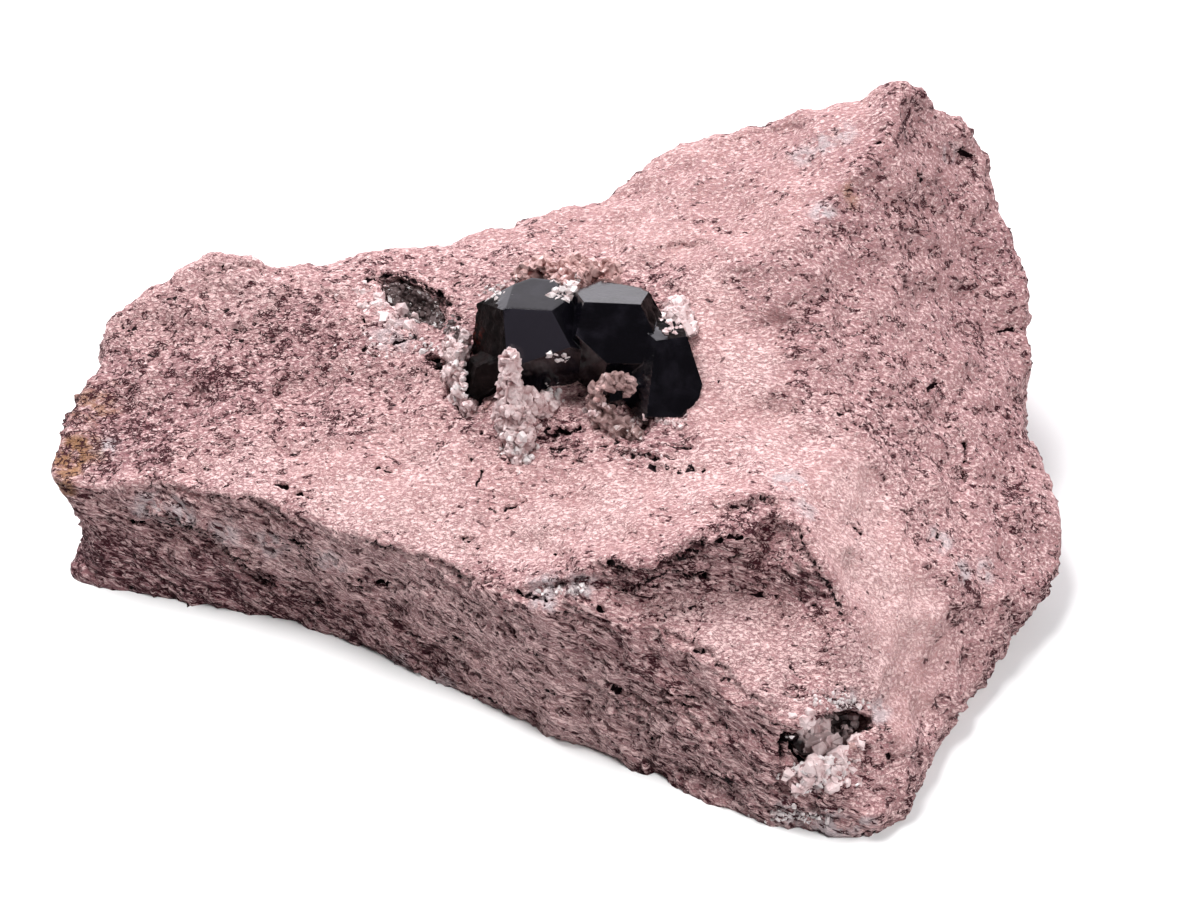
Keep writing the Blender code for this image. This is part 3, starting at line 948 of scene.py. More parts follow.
# The mauve areas make the back slope and the right face darker; on the right face this is painted shade.
AREAS = (
    Area(Trait.MAUVE_AND_SHADE, 0.28, BACK_SLOPE),
    Area(Trait.CLEAN, 0.40, RIGHT_FACE),
    Area(Trait.MAUVE_AND_SHADE, 0.44, RIGHT_FACE),
    Area(Trait.CLEAN, 0.9, BACK_SLOPE),
    Area(Trait.CLEAN, 0.5, ((300, 450), (420, 420), (560, 455), (720, 460), (780, 480), (740, 500),
                            (690, 540), (600, 555), (480, 560), (380, 530), (280, 490))),
    Area(Trait.CLEAN, 0.6, ((660, 400), (700, 270), (760, 285), (800, 380), (800, 470), (720, 455))),
    Area(Trait.CLEAN, 0.7, ((780, 480), (850, 430), (920, 560), (960, 650), (900, 760), (860, 640),
                            (810, 540))),
)
PATCHES = (
    *patches(Trait.STAIN, (68, 458, 3.2, 0.9), (95, 405, 2.6, 0.6), (60, 485, 2.2, 0.8),
             (850, 196, 1.5, 0.5)),
    *patches(Trait.VEIN, (106, 448, 1.5, 1.0), (822, 211, 1.3, 1.0), (845, 132, 1.3, 0.9),
             (825, 143, 1.3, 0.9), (803, 155, 1.3, 0.8), (950, 152, 1.2, 0.8), (940, 540, 1.5, 0.9),
             (962, 570, 1.5, 0.9), (985, 572, 1.3, 0.8), (545, 592, 2.0, 1.0), (580, 588, 1.6, 1.0),
             (150, 506, 2.0, 0.9), (180, 514, 2.0, 0.9), (225, 530, 1.8, 0.7), (270, 545, 1.8, 0.7),
             (330, 562, 1.6, 0.7), (790, 482, 1.6, 0.9), (805, 510, 1.4, 0.7), (400, 660, 1.6, 0.6),
             (445, 682, 1.6, 0.6), (790, 815, 1.8, 1.0), (830, 825, 2.0, 1.0), (862, 826, 1.6, 0.8),
             (815, 775, 1.6, 0.9), (880, 712, 1.5, 0.8), (845, 702, 1.4, 0.8), (395, 335, 2.2, 0.8)),
    # The rock's own cream zones, and painted light on the wedge below the ledge and on the front wall's
    # bright middle.
    *patches(Trait.PALE_AND_LIT, (350, 515, 5.5, 0.9), (250, 475, 4.5, 0.7), (440, 545, 4.5, 0.9),
             (530, 540, 4.5, 0.9), (430, 480, 4.5, 0.6), (610, 515, 4.5, 0.8), (690, 480, 4.5, 0.8),
             (765, 455, 4.0, 0.9), (745, 370, 4.0, 0.8), (700, 300, 4.0, 0.6), (800, 440, 4.0, 0.6),
             (860, 500, 4.5, 0.9), (865, 570, 5.0, 1.0), (905, 620, 5.0, 0.9), (870, 670, 4.5, 0.8),
             (500, 640, 5.0, 0.8), (545, 690, 4.5, 0.6), (660, 735, 4.5, 0.5), (730, 650, 3.5, 0.7),
             (770, 700, 3.0, 0.6), (240, 285, 5.0, 0.5), (650, 230, 5.0, 0.4), (690, 605, 3.0, 0.7),
             (740, 630, 3.5, 0.8), (790, 650, 3.0, 0.7), (610, 700, 4.5, 0.8), (430, 600, 4.0, 0.8),
             (250, 542, 3.5, 0.6), (300, 562, 4.0, 0.8), (350, 585, 3.0, 0.5), (400, 580, 4.0, 0.8),
             (455, 630, 4.0, 0.9), (505, 690, 4.0, 0.7), (555, 720, 4.0, 0.8), (600, 745, 4.0, 0.8),
             (650, 730, 4.0, 0.8), (740, 790, 3.5, 0.7), (555, 650, 4.0, 0.6)),
    # The rock's own mauve tone, and painted shade under the ledge and on the right face, which turns
    # from the key lamp.
    *patches(Trait.MAUVE_AND_SHADE, (205, 385, 6.0, 0.55), (300, 335, 5.0, 0.50), (330, 400, 4.0, 0.40),
             (130, 440, 5.0, 0.65), (80, 430, 4.5, 0.65), (110, 380, 4.0, 0.50), (250, 380, 5.0, 0.45),
             (920, 240, 6.0, 0.50), (965, 330, 5.0, 0.66), (880, 130, 5.0, 0.50), (955, 180, 5.0, 0.60),
             (1000, 260, 5.0, 0.75), (1010, 340, 5.0, 0.55), (1005, 430, 5.5, 0.60),
             (1015, 510, 5.5, 0.50), (1030, 560, 4.5, 0.45), (850, 210, 4.5, 0.66),
             (845, 150, 5.0, 0.62), (856, 262, 4.5, 0.58), (740, 190, 6.0, 0.45), (650, 195, 5.0, 0.36),
             (840, 280, 4.5, 0.40), (690, 190, 6.0, 0.46), (770, 150, 5.0, 0.55), (830, 120, 4.0, 0.40),
             (760, 210, 4.5, 0.30), (600, 215, 4.5, 0.20), (850, 340, 4.5, 0.45), (790, 385, 3.0, 0.45),
             (920, 130, 4.5, 0.50), (780, 170, 5.0, 0.25), (110, 575, 7.0, 0.90), (210, 585, 5.0, 0.85),
             (300, 605, 5.5, 0.50), (360, 640, 5.0, 0.45), (430, 670, 4.5, 0.30), (620, 660, 4.5, 0.28),
             (700, 780, 5.0, 0.22), (750, 730, 3.5, 0.32), (700, 556, 4.0, 0.36), (765, 565, 3.6, 0.32),
             (640, 578, 3.0, 0.38), (755, 515, 2.6, 0.42), (810, 590, 2.4, 0.60), (655, 443, 3.2, 0.55),
             (560, 438, 2.6, 0.50), (360, 345, 2.4, 0.50)),
)


@dataclass
class Rhyolite:
    """The block of rock: its broken surface, its cracks and the marks on it.

    A range holds the two values between which something eases in or out.
    """

    view: Viewpoint
    finish: RhyoliteFinish = RhyoliteFinish()
    node: str = "rhyolite_matrix"
    crystals: tuple[str, ...] = ("garnet_crystals", "quartz_spur", "quartz_collar", "quartz_cap",
                                 "quartz_fringe", "quartz_nub")
    flow: FlowBanding = FlowBanding()
    top_stretch: Place = (1.6, 1.0, 1.0)
    wall_stretch: Place = (2.8, 1.4, 0.75)
    wall_slope: Range = (0.35, 0.72)
    overhang: float = -0.1
    voxel: float = 0.31
    smoothing: int = 3
    crisp_passes: int = 26
    crispness: float = 1.05
    crisp_limit: float = 0.70
    most_faces: int = 196000
    snug_reach: float = 0.62
    snug_overlap: float = 0.07
    snug_fade: Range = (0.55, 1.0)
    lump_size: float = 3.4
    lump_depth: float = 0.24
    flake_size: float = 1.5
    flake_depth: float = 0.12
    chip_size: float = 0.62
    chip_depth: float = 0.09
    chip_shift: Place = (5.0, 5.0, 5.0)
    wall_gain: float = 1.6
    calm: float = 0.75
    cluster_size: float = 4.2
    cluster_shift: Place = (7.1, 0.0, 3.3)
    cluster_pull: float = 0.55
    gate_size: float = 0.9
    gate_shift: Place = (0.0, 11.7, 0.0)
    fissure_size: float = 1.1
    fissure_depth: float = 0.24
    fissure_dark: float = 0.45
    fissure_width: Range = (0.03, 0.12)
    fissure_gate: Range = (0.12, 0.34)
    step_felt: float = 3.0
    step_ends: float = 0.2
    step_blend: float = 0.14
    step_shade: Range = (0.10, -0.05)
    shade_fade: float = 0.28
    crack_stray: float = 0.6
    crack_profile: Range = (0.4, 1.3)
    hollow_dark: float = 0.6
    hollow_depth: Range = (0.02, 0.12)
    patch_felt: float = 1.5
    patch_grain: float = 0.5
    patch_stray: float = 0.45
    patch_fade: Range = (0.45, 1.0)
    area_grain: float = 1.2
    area_stray: float = 10.0
    fine_reach: float = 0.9
    fine_places: tuple[tuple[Place, float], ...] = (((2.0, 2.5, 17.0), 9.5), ((20.5, -25.0, 6.0), 5.0),
                                                    ((-11.5, 11.5, 17.0), 4.5))

    def __post_init__(self) -> None:
        """Find the rock's surface and the way its flow layers lie."""
        self.surface = node_surface(self.node)
        self.to_flow = self.flow.axes().transposed()

    def on_surface(self, spot: Spot) -> Vector:
        """Cast a place in the picture frame onto the rock.

        Args:
            spot: across and down.

        Returns:
            The place on the rock in metres, or the rim next to it where it lies just off the rock.
        """
        start, ray = self.view.location(), self.view.ray(spot)
        hit = self.surface.ray_cast(start, ray)[0]
        return hit or self.surface.find_nearest(start + ray * self.view.distance * MM)[0]

    def traced(self, path: Path) -> list[Span]:
        """Lay a path from the picture frame on the rock, as pairs of places in metres."""
        points = [self.on_surface(spot) for spot in path]
        return list(zip(points, points[1:]))

    def snug(self, bm: bmesh.types.BMesh) -> Freedom:
        """Close the pockets' clearance round the crystals.

        Args:
            bm: the rock.

        Returns:
            For each point near a crystal, how free it still is to be roughened.
        """
        freedom = {}
        trees = [node_surface(node) for node in self.crystals]
        reach = self.snug_reach * MM
        for vert in bm.verts:
            for tree in trees:
                near, normal, _, gap = tree.find_nearest(vert.co, reach)
                if near is None:
                    continue
                pull = 1.0 - smoothstep(*self.snug_fade, gap / reach)
                target = near - normal * self.snug_overlap * MM
                vert.co = vert.co.lerp(target, pull)
                freedom[vert] = min(freedom.get(vert, 1.0), 1.0 - pull)
        return freedom

    def drawn_out(self, place: Vector, wall: float) -> list[tuple[float, Vector]]:
        """The ways the broken surface is drawn out at a place.

        Args:
            place: where, in millimetres.
            wall: 1 on the steep walls, 0 on the flatter top.

        Returns:
            Each way's share, and the place as that way's pattern reads it.
        """
        ways = ((1.0 - wall, place, self.top_stretch), (wall, self.to_flow @ place, self.wall_stretch))
        return [(share, Vector([part / stretch for part, stretch in zip(spot, stretches)]))
                for share, spot, stretches in ways if share > 0.001]

    def relief(self, place: Vector, wall: float, rough: float) -> tuple[float, float]:
        """The height of the broken surface at a place.

        Args:
            place: where, in millimetres.
            wall: 1 on the steep walls, 0 on the flatter top.
            rough: how much of the flakes and fissures there is.

        Returns:
            The height in millimetres and how much of a fissure it is.
        """
        cluster = noise.noise(place / self.cluster_size + Vector(self.cluster_shift))
        height = self.lump_depth * rugged(place / self.lump_size, 3)
        fissure = 0.0
        for share, way in self.drawn_out(place, wall):
            depth = share * rough * (1.0 + self.wall_gain * wall)
            height += depth * self.flake_depth * flake(way / self.flake_size)
            height += depth * self.chip_depth * flake(way / self.chip_size + Vector(self.chip_shift))
            line = abs(rugged(way / self.fissure_size, 2, 0.9))
            gate = noise.noise(way / self.gate_size + Vector(self.gate_shift))
            gate += self.cluster_pull * cluster
            opening = share * rough * (1.0 - smoothstep(*self.fissure_width, line))
            fissure += opening * smoothstep(*self.fissure_gate, gate)
        return height - self.fissure_depth * fissure, fissure

    def crisp(self, bm: bmesh.types.BMesh) -> None:
        """Sharpen the rims: push each point away from where heavy smoothing would take it.

        Args:
            bm: the rock.
        """
        before = [vert.co.copy() for vert in bm.verts]
        smooth(bm, self.crisp_passes)
        limit = self.crisp_limit * MM
        for vert, was in zip(bm.verts, before):
            push = (was - vert.co) * self.crispness
            vert.co = was + (push if push.length < limit else push.normalized() * limit)
        bm.normal_update()

    def refine(self, bm: bmesh.types.BMesh) -> None:
        """Give the ground round the crystals, cracks and broken edges a finer net.

        Args:
            bm: the rock.
        """
        faces = list(bm.faces)
        tree = tree_of([face.verts[0].co for face in faces])
        places = [(Vector(centre) * MM, radius) for centre, radius in self.fine_places]
        for mark in CRACKS + STEPS:
            for start, end in self.traced(mark.path):
                steps = max(1, round((end - start).length / MM))
                places += [(start.lerp(end, step / steps), self.fine_reach) for step in range(steps + 1)]
        near = {index for middle, radius in places
                for _, index, _ in tree.find_range(middle, radius * MM)}
        chosen = {edge for index in near for edge in faces[index].edges}
        bm.edges.index_update()
        bmesh.ops.subdivide_edges(bm, edges=in_order(chosen), cuts=1, use_grid_fill=True)
        bmesh.ops.triangulate(bm, faces=[face for face in bm.faces if len(face.verts) > 4])
        smooth(bm, 1)

    def mark(self, bm: bmesh.types.BMesh, layers: Layers) -> None:
        """Give the named patches and areas their traits.

        Args:
            bm: the rock.
            layers: its traits.
        """
        verts = list(bm.verts)
        tree = tree_of([vert.co for vert in verts])
        for patch in PATCHES:
            radius = patch.radius * MM
            grain = self.patch_grain * patch.radius
            layer = layers[patch.trait]
            for _, index, gap in tree.find_range(self.on_surface(patch.spot), radius * self.patch_felt):
                vert = verts[index]
                uneven = 1.0 + self.patch_stray * noise.noise(vert.co / MM / grain)
                here = patch.strength * (1.0 - smoothstep(*self.patch_fade, gap / (radius * uneven)))
                vert[layer] = max(vert[layer], here)
        eye = self.view.location()
        for vert in verts:
            if vert.normal.dot(eye - vert.co) < 0.0:
                continue
            across, down = self.view.spot(vert.co)
            stray = noise.noise_vector(vert.co / MM / self.area_grain) * self.area_stray
            for area in AREAS:
                here = area.strength * area.share((across + stray.x, down + stray.y))
                vert[layers[area.trait]] = max(vert[layers[area.trait]], here)

    def roughen(self, bm: bmesh.types.BMesh, layers: Layers, freedom: Freedom) -> None:
        """Break the surface up, note the fissures and the walls, and paint shade into the fissures.

        Args:
            bm: the rock.
            layers: its traits.
            freedom: how free each point near a crystal is to move.
        """
        moves = []
        for vert in bm.verts:
            wall = 1.0 - smoothstep(*self.wall_slope, vert.normal.z)
            rough = 1.0 - self.calm * vert[layers[Trait.CLEAN]]
            height, fissure = self.relief(vert.co / MM, wall, rough)
            free = freedom.get(vert, 1.0)
            moves.append(vert.normal * height * free * MM)
            # Painted shade in the fissures.
            vert[layers[Trait.SHADE_AND_DULL]] = fissure * self.fissure_dark * free
            vert[layers[Trait.WALL]] = wall
        for vert, move in zip(bm.verts, moves):
            vert.co += move
        bm.normal_update()

    def break_edges(self, bm: bmesh.types.BMesh, layers: Layers) -> None:
        """Raise the ground on one side of each broken edge, lower it on the other, and paint shade below
        it.

        Args:
            bm: the rock.
            layers: its traits.
        """
        verts = list(bm.verts)
        tree = tree_of([vert.co for vert in verts])
        eye = self.view.location()
        for step in STEPS:
            spans = self.traced(step.path)
            nearest = {}
            for number, (start, end) in enumerate(spans):
                along = end - start
                left = along.cross(start - eye).normalized()
                wide = along.length / 2 + self.step_felt * step.reach * MM
                for _, index, _ in tree.find_range((start + end) / 2, wide):
                    share, off = off_span(verts[index], start, end)
                    apart = off / MM
                    if index not in nearest or apart.length < nearest[index][0]:
                        nearest[index] = (apart.length, apart.dot(left), (number + share) / len(spans))
            for index, (gap, side, run) in nearest.items():
                fade = smoothstep(0.0, self.step_ends, run) * smoothstep(0.0, self.step_ends, 1.0 - run)
                fade *= math.exp(-gap / step.reach)
                jump = 2.0 * smoothstep(-self.step_blend, self.step_blend, side) - 1.0
                vert = verts[index]
                if vert.normal.z > self.overhang:
                    vert.co += vert.normal * step.rise * jump * fade * MM
                # Painted shadow below the proud side of the edge.
                shade = step.dark * fade * smoothstep(*self.step_shade, side)
                shade *= math.exp(min(0.0, side) / self.shade_fade)
                vert[layers[Trait.SHADE_AND_DULL]] = max(vert[layers[Trait.SHADE_AND_DULL]], shade)
        bm.normal_update()

    def open_cracks(self, bm: bmesh.types.BMesh, layers: Layers) -> None:
        """Sink the cracks into the surface and paint shade into them.

        Args:
            bm: the rock.
            layers: its traits.
        """
        verts = list(bm.verts)
        tree = tree_of([vert.co for vert in verts])
        deep = []
        for crack in CRACKS:
            reach = crack.width * MM
            for start, end in self.traced(crack.path):
                wide = (end - start).length / 2 + reach + self.crack_stray * MM
                for _, index, _ in tree.find_range((start + end) / 2, wide):
                    gap = off_span(verts[index], start, end)[1].length
                    depth = 1.0 - smoothstep(*self.crack_profile, gap / reach)
                    if depth > 0.0:
                        deep.append((verts[index], depth * crack.depth, depth * crack.dark))
        for vert, depth, dark in deep:
            if vert.normal.z > self.overhang:
                vert.co -= vert.normal * depth * MM
            # Painted shade in the crack.
            vert[layers[Trait.SHADE_AND_DULL]] = max(vert[layers[Trait.SHADE_AND_DULL]], dark)
        bm.normal_update()

    def keep_inside(self, bm: bmesh.types.BMesh) -> None:
        """Hold the surface within the CAD node's box, and its underside flat.

        Args:
            bm: the rock.
        """
        low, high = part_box(self.node)
        for vert in bm.verts:
            for axis in range(3):
                vert.co[axis] = min(high[axis], max(low[axis], vert.co[axis]))

    def flatten_underside(self, bm: bmesh.types.BMesh) -> None:
        """Take the needless edges out of the flat underside.

        Args:
            bm: the rock.
        """
        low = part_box(self.node)[0][2] + TOUCHING
        flat = [face for face in bm.faces if all(vert.co.z < low for vert in face.verts)]
        verts = {vert for face in flat for vert in face.verts}
        edges = {edge for face in flat for edge in face.edges}
        bm.verts.index_update()
        bm.edges.index_update()
        bmesh.ops.dissolve_limit(bm, angle_limit=math.radians(0.5), verts=in_order(verts),
                                 edges=in_order(edges))

    def build(self) -> bpy.types.Object:
        """Make the rock in place of its CAD node.

        Returns:
            The rock.
        """
        bm = remeshed(node_shape(self.node), self.voxel)
        smooth(bm, self.smoothing)
        self.crisp(bm)
        self.refine(bm)
        layers = trait_layers(bm)
        freedom = self.snug(bm)
        bm.normal_update()
        self.mark(bm, layers)
        self.roughen(bm, layers, freedom)
        self.break_edges(bm, layers)
        self.open_cracks(bm, layers)
        # Painted shade in the rock's hollows.
        for vert in bm.verts:
            vert[layers[Trait.HOLLOW_SHADE]] = self.hollow_dark * smoothstep(*self.hollow_depth, bowl(vert))
        self.keep_inside(bm)
        self.flatten_underside(bm)
        bmesh.ops.triangulate(bm, faces=bm.faces)
        bm = modified(bm, "DECIMATE", ratio=min(1.0, self.most_faces / len(bm.faces)))
        for face in bm.faces:
            face.smooth = True
        return object_from("rhyolite_block", bm, self.finish.material(), (self.node,))


# ---- the garnets --------------------------------------------------------------------------------

@dataclass
class Garnets:
    """The grown-together garnets: flat facets with worn edges.

    A facet is named by the way it faces and a place near its middle.
    """

    finish: GarnetFinish = GarnetFinish()
    rough_finish: GarnetFinish = GarnetFinish("garnet_rough", (0.003, 0.002, 0.002),
                                              (0.012, 0.007, 0.007), refraction=1.12,
                                              polish=(0.32, 0.62), grain_size=0.3, grain_depth=0.08)
    node: str = "garnet_crystals"
    flat_angle: float = 1.0
    facet_angle: float = 8.0
    sharp_angle: float = 18.0
    edge_wear: float = 0.07
    cut_length: float = 0.45
    cut_rounds: int = 5
    ripple: float = 0.012
    ripple_size: float = 1.3
    rough_left_of: float = -4.35
    rough_edge: Range = (-0.5, 0.3)
    rough_depth: float = 0.20
    rough_size: float = 0.7
    rough_level: float = 0.2
    rough_from: float = 0.5
    facing: Range = (0.90, 0.97)
    dull_facets: tuple[Span, ...] = ((Vector((-0.86, -0.46, 0.24)), Vector((-4.5, 3.2, 22.3))),
                                     (Vector((0.85, -0.01, 0.53)), Vector((7.9, 4.8, 22.6))),
                                     (Vector((0.08, 0.15, 0.98)), Vector((11.8, 3.6, 22.6))))
    dull_reach: float = 4.0
    # Facets painted lighter, as a sheen, for the way they face.
    sheen_facets: tuple[Span, ...] = ((Vector((-0.07, -0.82, 0.57)), Vector((-1.4, 2.0, 22.0))),)
    sheen_reach: float = 3.4
    rust_centre: Place = (-7.4, 4.6, 20.2)
    rust_radius: float = 2.0
    rust_fade: Range = (0.4, 1.0)

    def cut(self, bm: bmesh.types.BMesh) -> None:
        """Wear the edges and cut the facets into small faces.

        Args:
            bm: the crystals.
        """
        sharp = math.radians(self.facet_angle)
        bmesh.ops.dissolve_limit(bm, angle_limit=math.radians(self.flat_angle), verts=bm.verts,
                                 edges=bm.edges)
        edges = [edge for edge in bm.edges if edge.calc_face_angle(0.0) > sharp]
        bmesh.ops.bevel(bm, geom=edges, offset=self.edge_wear * MM, segments=2, profile=0.5,
                        affect="EDGES", material=-1, clamp_overlap=True)
        bmesh.ops.triangulate(bm, faces=bm.faces)
        for _ in range(self.cut_rounds):
            long = [edge for edge in bm.edges if edge.calc_length() > self.cut_length * MM]
            if not long:
                break
            bmesh.ops.subdivide_edges(bm, edges=long, cuts=1)
            bmesh.ops.triangulate(bm, faces=[face for face in bm.faces if len(face.verts) > 3])
        bm.normal_update()

    def belongs(self, vert: bmesh.types.BMVert, facets: tuple[Span, ...], reach: float) -> float:
        """How far a point belongs to any of some facets.

        Args:
            vert: the point.
            facets: the facets.
            reach: how far each one reaches from its middle.

        Returns:
            1 well on a facet, 0 off them all.
        """
        place = vert.co / MM
        return max((smoothstep(*self.facing, vert.normal.dot(facing)) for facing, middle in facets
                    if (place - middle).length < reach), default=0.0)

    def weather(self, bm: bmesh.types.BMesh, layers: Layers) -> None:
        """Ripple the facets, break the dull ones up, and note the rusty places and the facets with a
        painted sheen.

        Args:
            bm: the crystals.
            layers: their traits.
        """
        centre = Vector(self.rust_centre)
        for vert in bm.verts:
            place = vert.co / MM
            rough = 1.0 - smoothstep(*self.rough_edge, place.x - self.rough_left_of)
            rough = max(rough, self.belongs(vert, self.dull_facets, self.dull_reach))
            # On the garnets this trait holds how dull the ground is; it picks the rough finish and
            # paints no shade.
            vert[layers[Trait.SHADE_AND_DULL]] = rough
            # Painted sheen on the facets that face one way.
            vert[layers[Trait.PALE_AND_LIT]] = self.belongs(vert, self.sheen_facets, self.sheen_reach)
            away = (place - centre).length / self.rust_radius
            vert[layers[Trait.STAIN]] = 1.0 - smoothstep(*self.rust_fade, away)
            ripple = self.ripple * noise.noise(place / self.ripple_size)
            broken = self.rough_depth * rough * (rugged(place / self.rough_size, 3) - self.rough_level)
            vert.co += vert.normal * (ripple + broken) * MM
        bm.normal_update()

    def build(self) -> bpy.types.Object:
        """Make the crystals in place of their CAD node.

        Returns:
            The crystals.
        """
        bm = node_shape(self.node)
        self.cut(bm)
        layers = trait_layers(bm)
        self.weather(bm, layers)
        for face in bm.faces:
            face.smooth = True
            roughest = min(vert[layers[Trait.SHADE_AND_DULL]] for vert in face.verts)
            face.material_index = int(roughest > self.rough_from)
        piece = object_from("garnets", bm, self.finish.material(), (self.node,))
        piece.data.materials.append(self.rough_finish.material())
        piece.data.set_sharp_from_angle(angle=math.radians(self.sharp_angle))
        return piece


# ---- the quartz ---------------------------------------------------------------------------------

CRYSTAL_SQUEEZE: Range = (0.75, 1.0)
CRYSTAL_TAPER: Range = (0.80, 0.98)
TIP_RISE: Range = (0.5, 0.9)
TIP_STRAY = 0.35
LUMP_CORNERS = 11
LUMP_WIDTH: Range = (0.6, 1.0)
LUMP_LEAST_LENGTH = 0.7


def stray(dice: random.Random, reach: float) -> Vector:
    """A chance step that is at most reach along each axis."""
    return Vector([dice.uniform(-reach, reach) for _ in range(3)])


def add_crystal(bm: bmesh.types.BMesh, foot: Vector, axis: Vector, radius: float, length: float,
                dice: random.Random) -> None:
    """Stand one six-sided, roof-ended crystal in a mesh.

    Args:
        bm: the mesh.
        foot: the middle of the crystal, in metres.
        axis: which way its tip points.
        radius: its radius.
        length: its length, without the tip.
        dice: the source of chance.
    """
    turn = axis.to_track_quat("Z", "Y").to_matrix().to_4x4()
    turn = turn @ Matrix.Rotation(dice.uniform(0.0, math.pi), 4, "Z")
    squeeze = Matrix.Diagonal((dice.uniform(*CRYSTAL_SQUEEZE), 1.0, 1.0, 1.0))
    made = bmesh.ops.create_cone(bm, cap_ends=True, segments=6, radius1=radius * MM,
                                 radius2=radius * dice.uniform(*CRYSTAL_TAPER) * MM, depth=length * MM,
                                 matrix=Matrix.Translation(foot) @ turn @ squeeze)
    bm.normal_update()
    faces = {face for vert in made["verts"] for face in vert.link_faces}
    cap = max((face for face in faces if len(face.verts) == 6), key=lambda face: face.normal.dot(axis))
    tip = bmesh.ops.poke(bm, faces=[cap])["verts"][0]
    sideways = stray(dice, TIP_STRAY)
    tip.co += (axis * dice.uniform(*TIP_RISE) + sideways) * radius * MM


def add_lump(bm: bmesh.types.BMesh, middle: Vector, axis: Vector, radius: float, length: float,
             dice: random.Random) -> None:
    """Set one angular lump of broken quartz in a mesh.

    Args:
        bm: the mesh.
        middle: the middle of the lump, in metres.
        axis: which way it points.
        radius: its half width.
        length: its length along the axis.
        dice: the source of chance.
    """
    turn = axis.to_track_quat("Z", "Y").to_matrix()
    turn = turn @ Matrix.Rotation(dice.uniform(0.0, 2.0 * math.pi), 3, "Z")
    half = max(LUMP_LEAST_LENGTH * radius, length / 2) * MM
    reach = Matrix.Diagonal((radius * MM, radius * dice.uniform(*LUMP_WIDTH) * MM, half))
    verts = []
    for _ in range(LUMP_CORNERS):
        way = Vector([dice.gauss(0.0, 1.0) for _ in range(3)]).normalized()
        verts.append(bm.verts.new(middle + turn @ (reach @ way)))
    made = bmesh.ops.convex_hull(bm, input=verts)
    spare = {part for part in made["geom_interior"] if isinstance(part, bmesh.types.BMVert)}
    bmesh.ops.delete(bm, geom=list(spare), context="VERTS")


@dataclass
class QuartzGrowth:
    """A blocky growth of quartz: chunks with dusty seams in painted shade, and lumps and crystals
    standing out of it.

    A shadow spot is a place in the picture frame with its radius on the growth, where shadow is painted.
    """

    node: str
    finish: QuartzFinish
    slot: str = "quartz"
    voxel: float = 0.12
    smoothing: int = 4
    chunk_size: float = 0.95
    chunk_depth: float = 0.40
    chip_size: float = 0.42
    chip_depth: float = 0.16
    seam_size: float = 0.5
    seam_stray: float = 0.15
    seam_width: Range = (0.03, 0.20)
    seam_depth: float = 0.15
    facet_share: float = 0.16
    hollow_dark: float = 0.7
    hollow_depth: Range = (0.02, 0.10)
    crystals: int = 30
    crystal_radius: Range = (0.16, 0.42)
    crystal_length: Range = (0.9, 2.2)
    crystal_lean: float = 0.9
    lump_share: float = 0.75
    sunk: float = 0.4
    shadow_spots: tuple[tuple[Spot, float], ...] = ()
    spot_edge: Range = (0.7, 1.0)
    seed: int = 5

    def chunky(self) -> bmesh.types.BMesh:
        """The growth's own body, broken into chunks.

        Returns:
            The body, with painted shade in its hollows noted.
        """
        bm = remeshed(node_shape(self.node), self.voxel)
        smooth(bm, self.smoothing)
        moves = []
        for vert in bm.verts:
            place = vert.co / MM
            spot = place / self.chunk_size + noise.noise_vector(place / self.seam_size) * self.seam_stray
            near = noise.voronoi(spot)[0]
            rise = self.chunk_depth * flake(place / self.chunk_size)
            rise += self.chip_depth * flake(place / self.chip_size)
            seam = 1.0 - smoothstep(*self.seam_width, near[1] - near[0])
            moves.append(vert.normal * (rise - self.seam_depth * seam) * MM)
        for vert, move in zip(bm.verts, moves):
            vert.co += move
        bm = modified(bm, "DECIMATE", ratio=self.facet_share)
        layer = trait_layers(bm)[Trait.HOLLOW_SHADE]
        bm.normal_update()
        # Painted shade where a point lies below its neighbours.
        for vert in bm.verts:
            vert[layer] = self.hollow_dark * smoothstep(*self.hollow_depth, bowl(vert))
        # Painted shadow on the shadow spots.
        self.paint_shadow_spots(bm, layer)
        return bm

    def paint_shadow_spots(self, bm: bmesh.types.BMesh, layer: bmesh.types.BMLayerItem) -> None:
        """Paint shadow on the shadow spots, as dark as the painted shade in a hollow.

        Args:
            bm: the growth.
            layer: its painted shade in the hollows.
        """
        view = Viewpoint()
        tree = BVHTree.FromBMesh(bm)
        for spot, radius in self.shadow_spots:
            middle = tree.ray_cast(view.location(), view.ray(spot))[0]
            if middle is None:
                continue
            for vert in bm.verts:
                gap = (vert.co - middle).length / MM / radius
                vert[layer] = max(vert[layer], 1.0 - smoothstep(*self.spot_edge, gap))

    def build(self) -> bpy.types.Object:
        """Make the growth in place of its CAD node.

        Returns:
            The growth.
        """
        bm = self.chunky()
        dice = random.Random(f"{self.seed} {self.node}")
        body = list(bm.verts)
        picked = dice.sample(range(len(body)), min(self.crystals, len(body)))
        spots = [(body[i].co.copy(), body[i].normal.copy()) for i in picked]
        for foot, up in spots:
            radius = dice.uniform(*self.crystal_radius)
            axis = (up + stray(dice, self.crystal_lean)).normalized()
            add = add_lump if dice.random() < self.lump_share else add_crystal
            add(bm, foot - up * radius * self.sunk * MM, axis, radius,
                radius * dice.uniform(*self.crystal_length), dice)
        return object_from(f"{self.node}_growth", bm, self.finish.material(), (self.node,))


@dataclass(frozen=True)
class Seeding:
    """A place where small crystals have grown, given in the picture frame."""

    spot: Spot
    spread: Spot
    count: int
    radius: Range = (0.10, 0.28)
    length: Range = (0.8, 2.0)


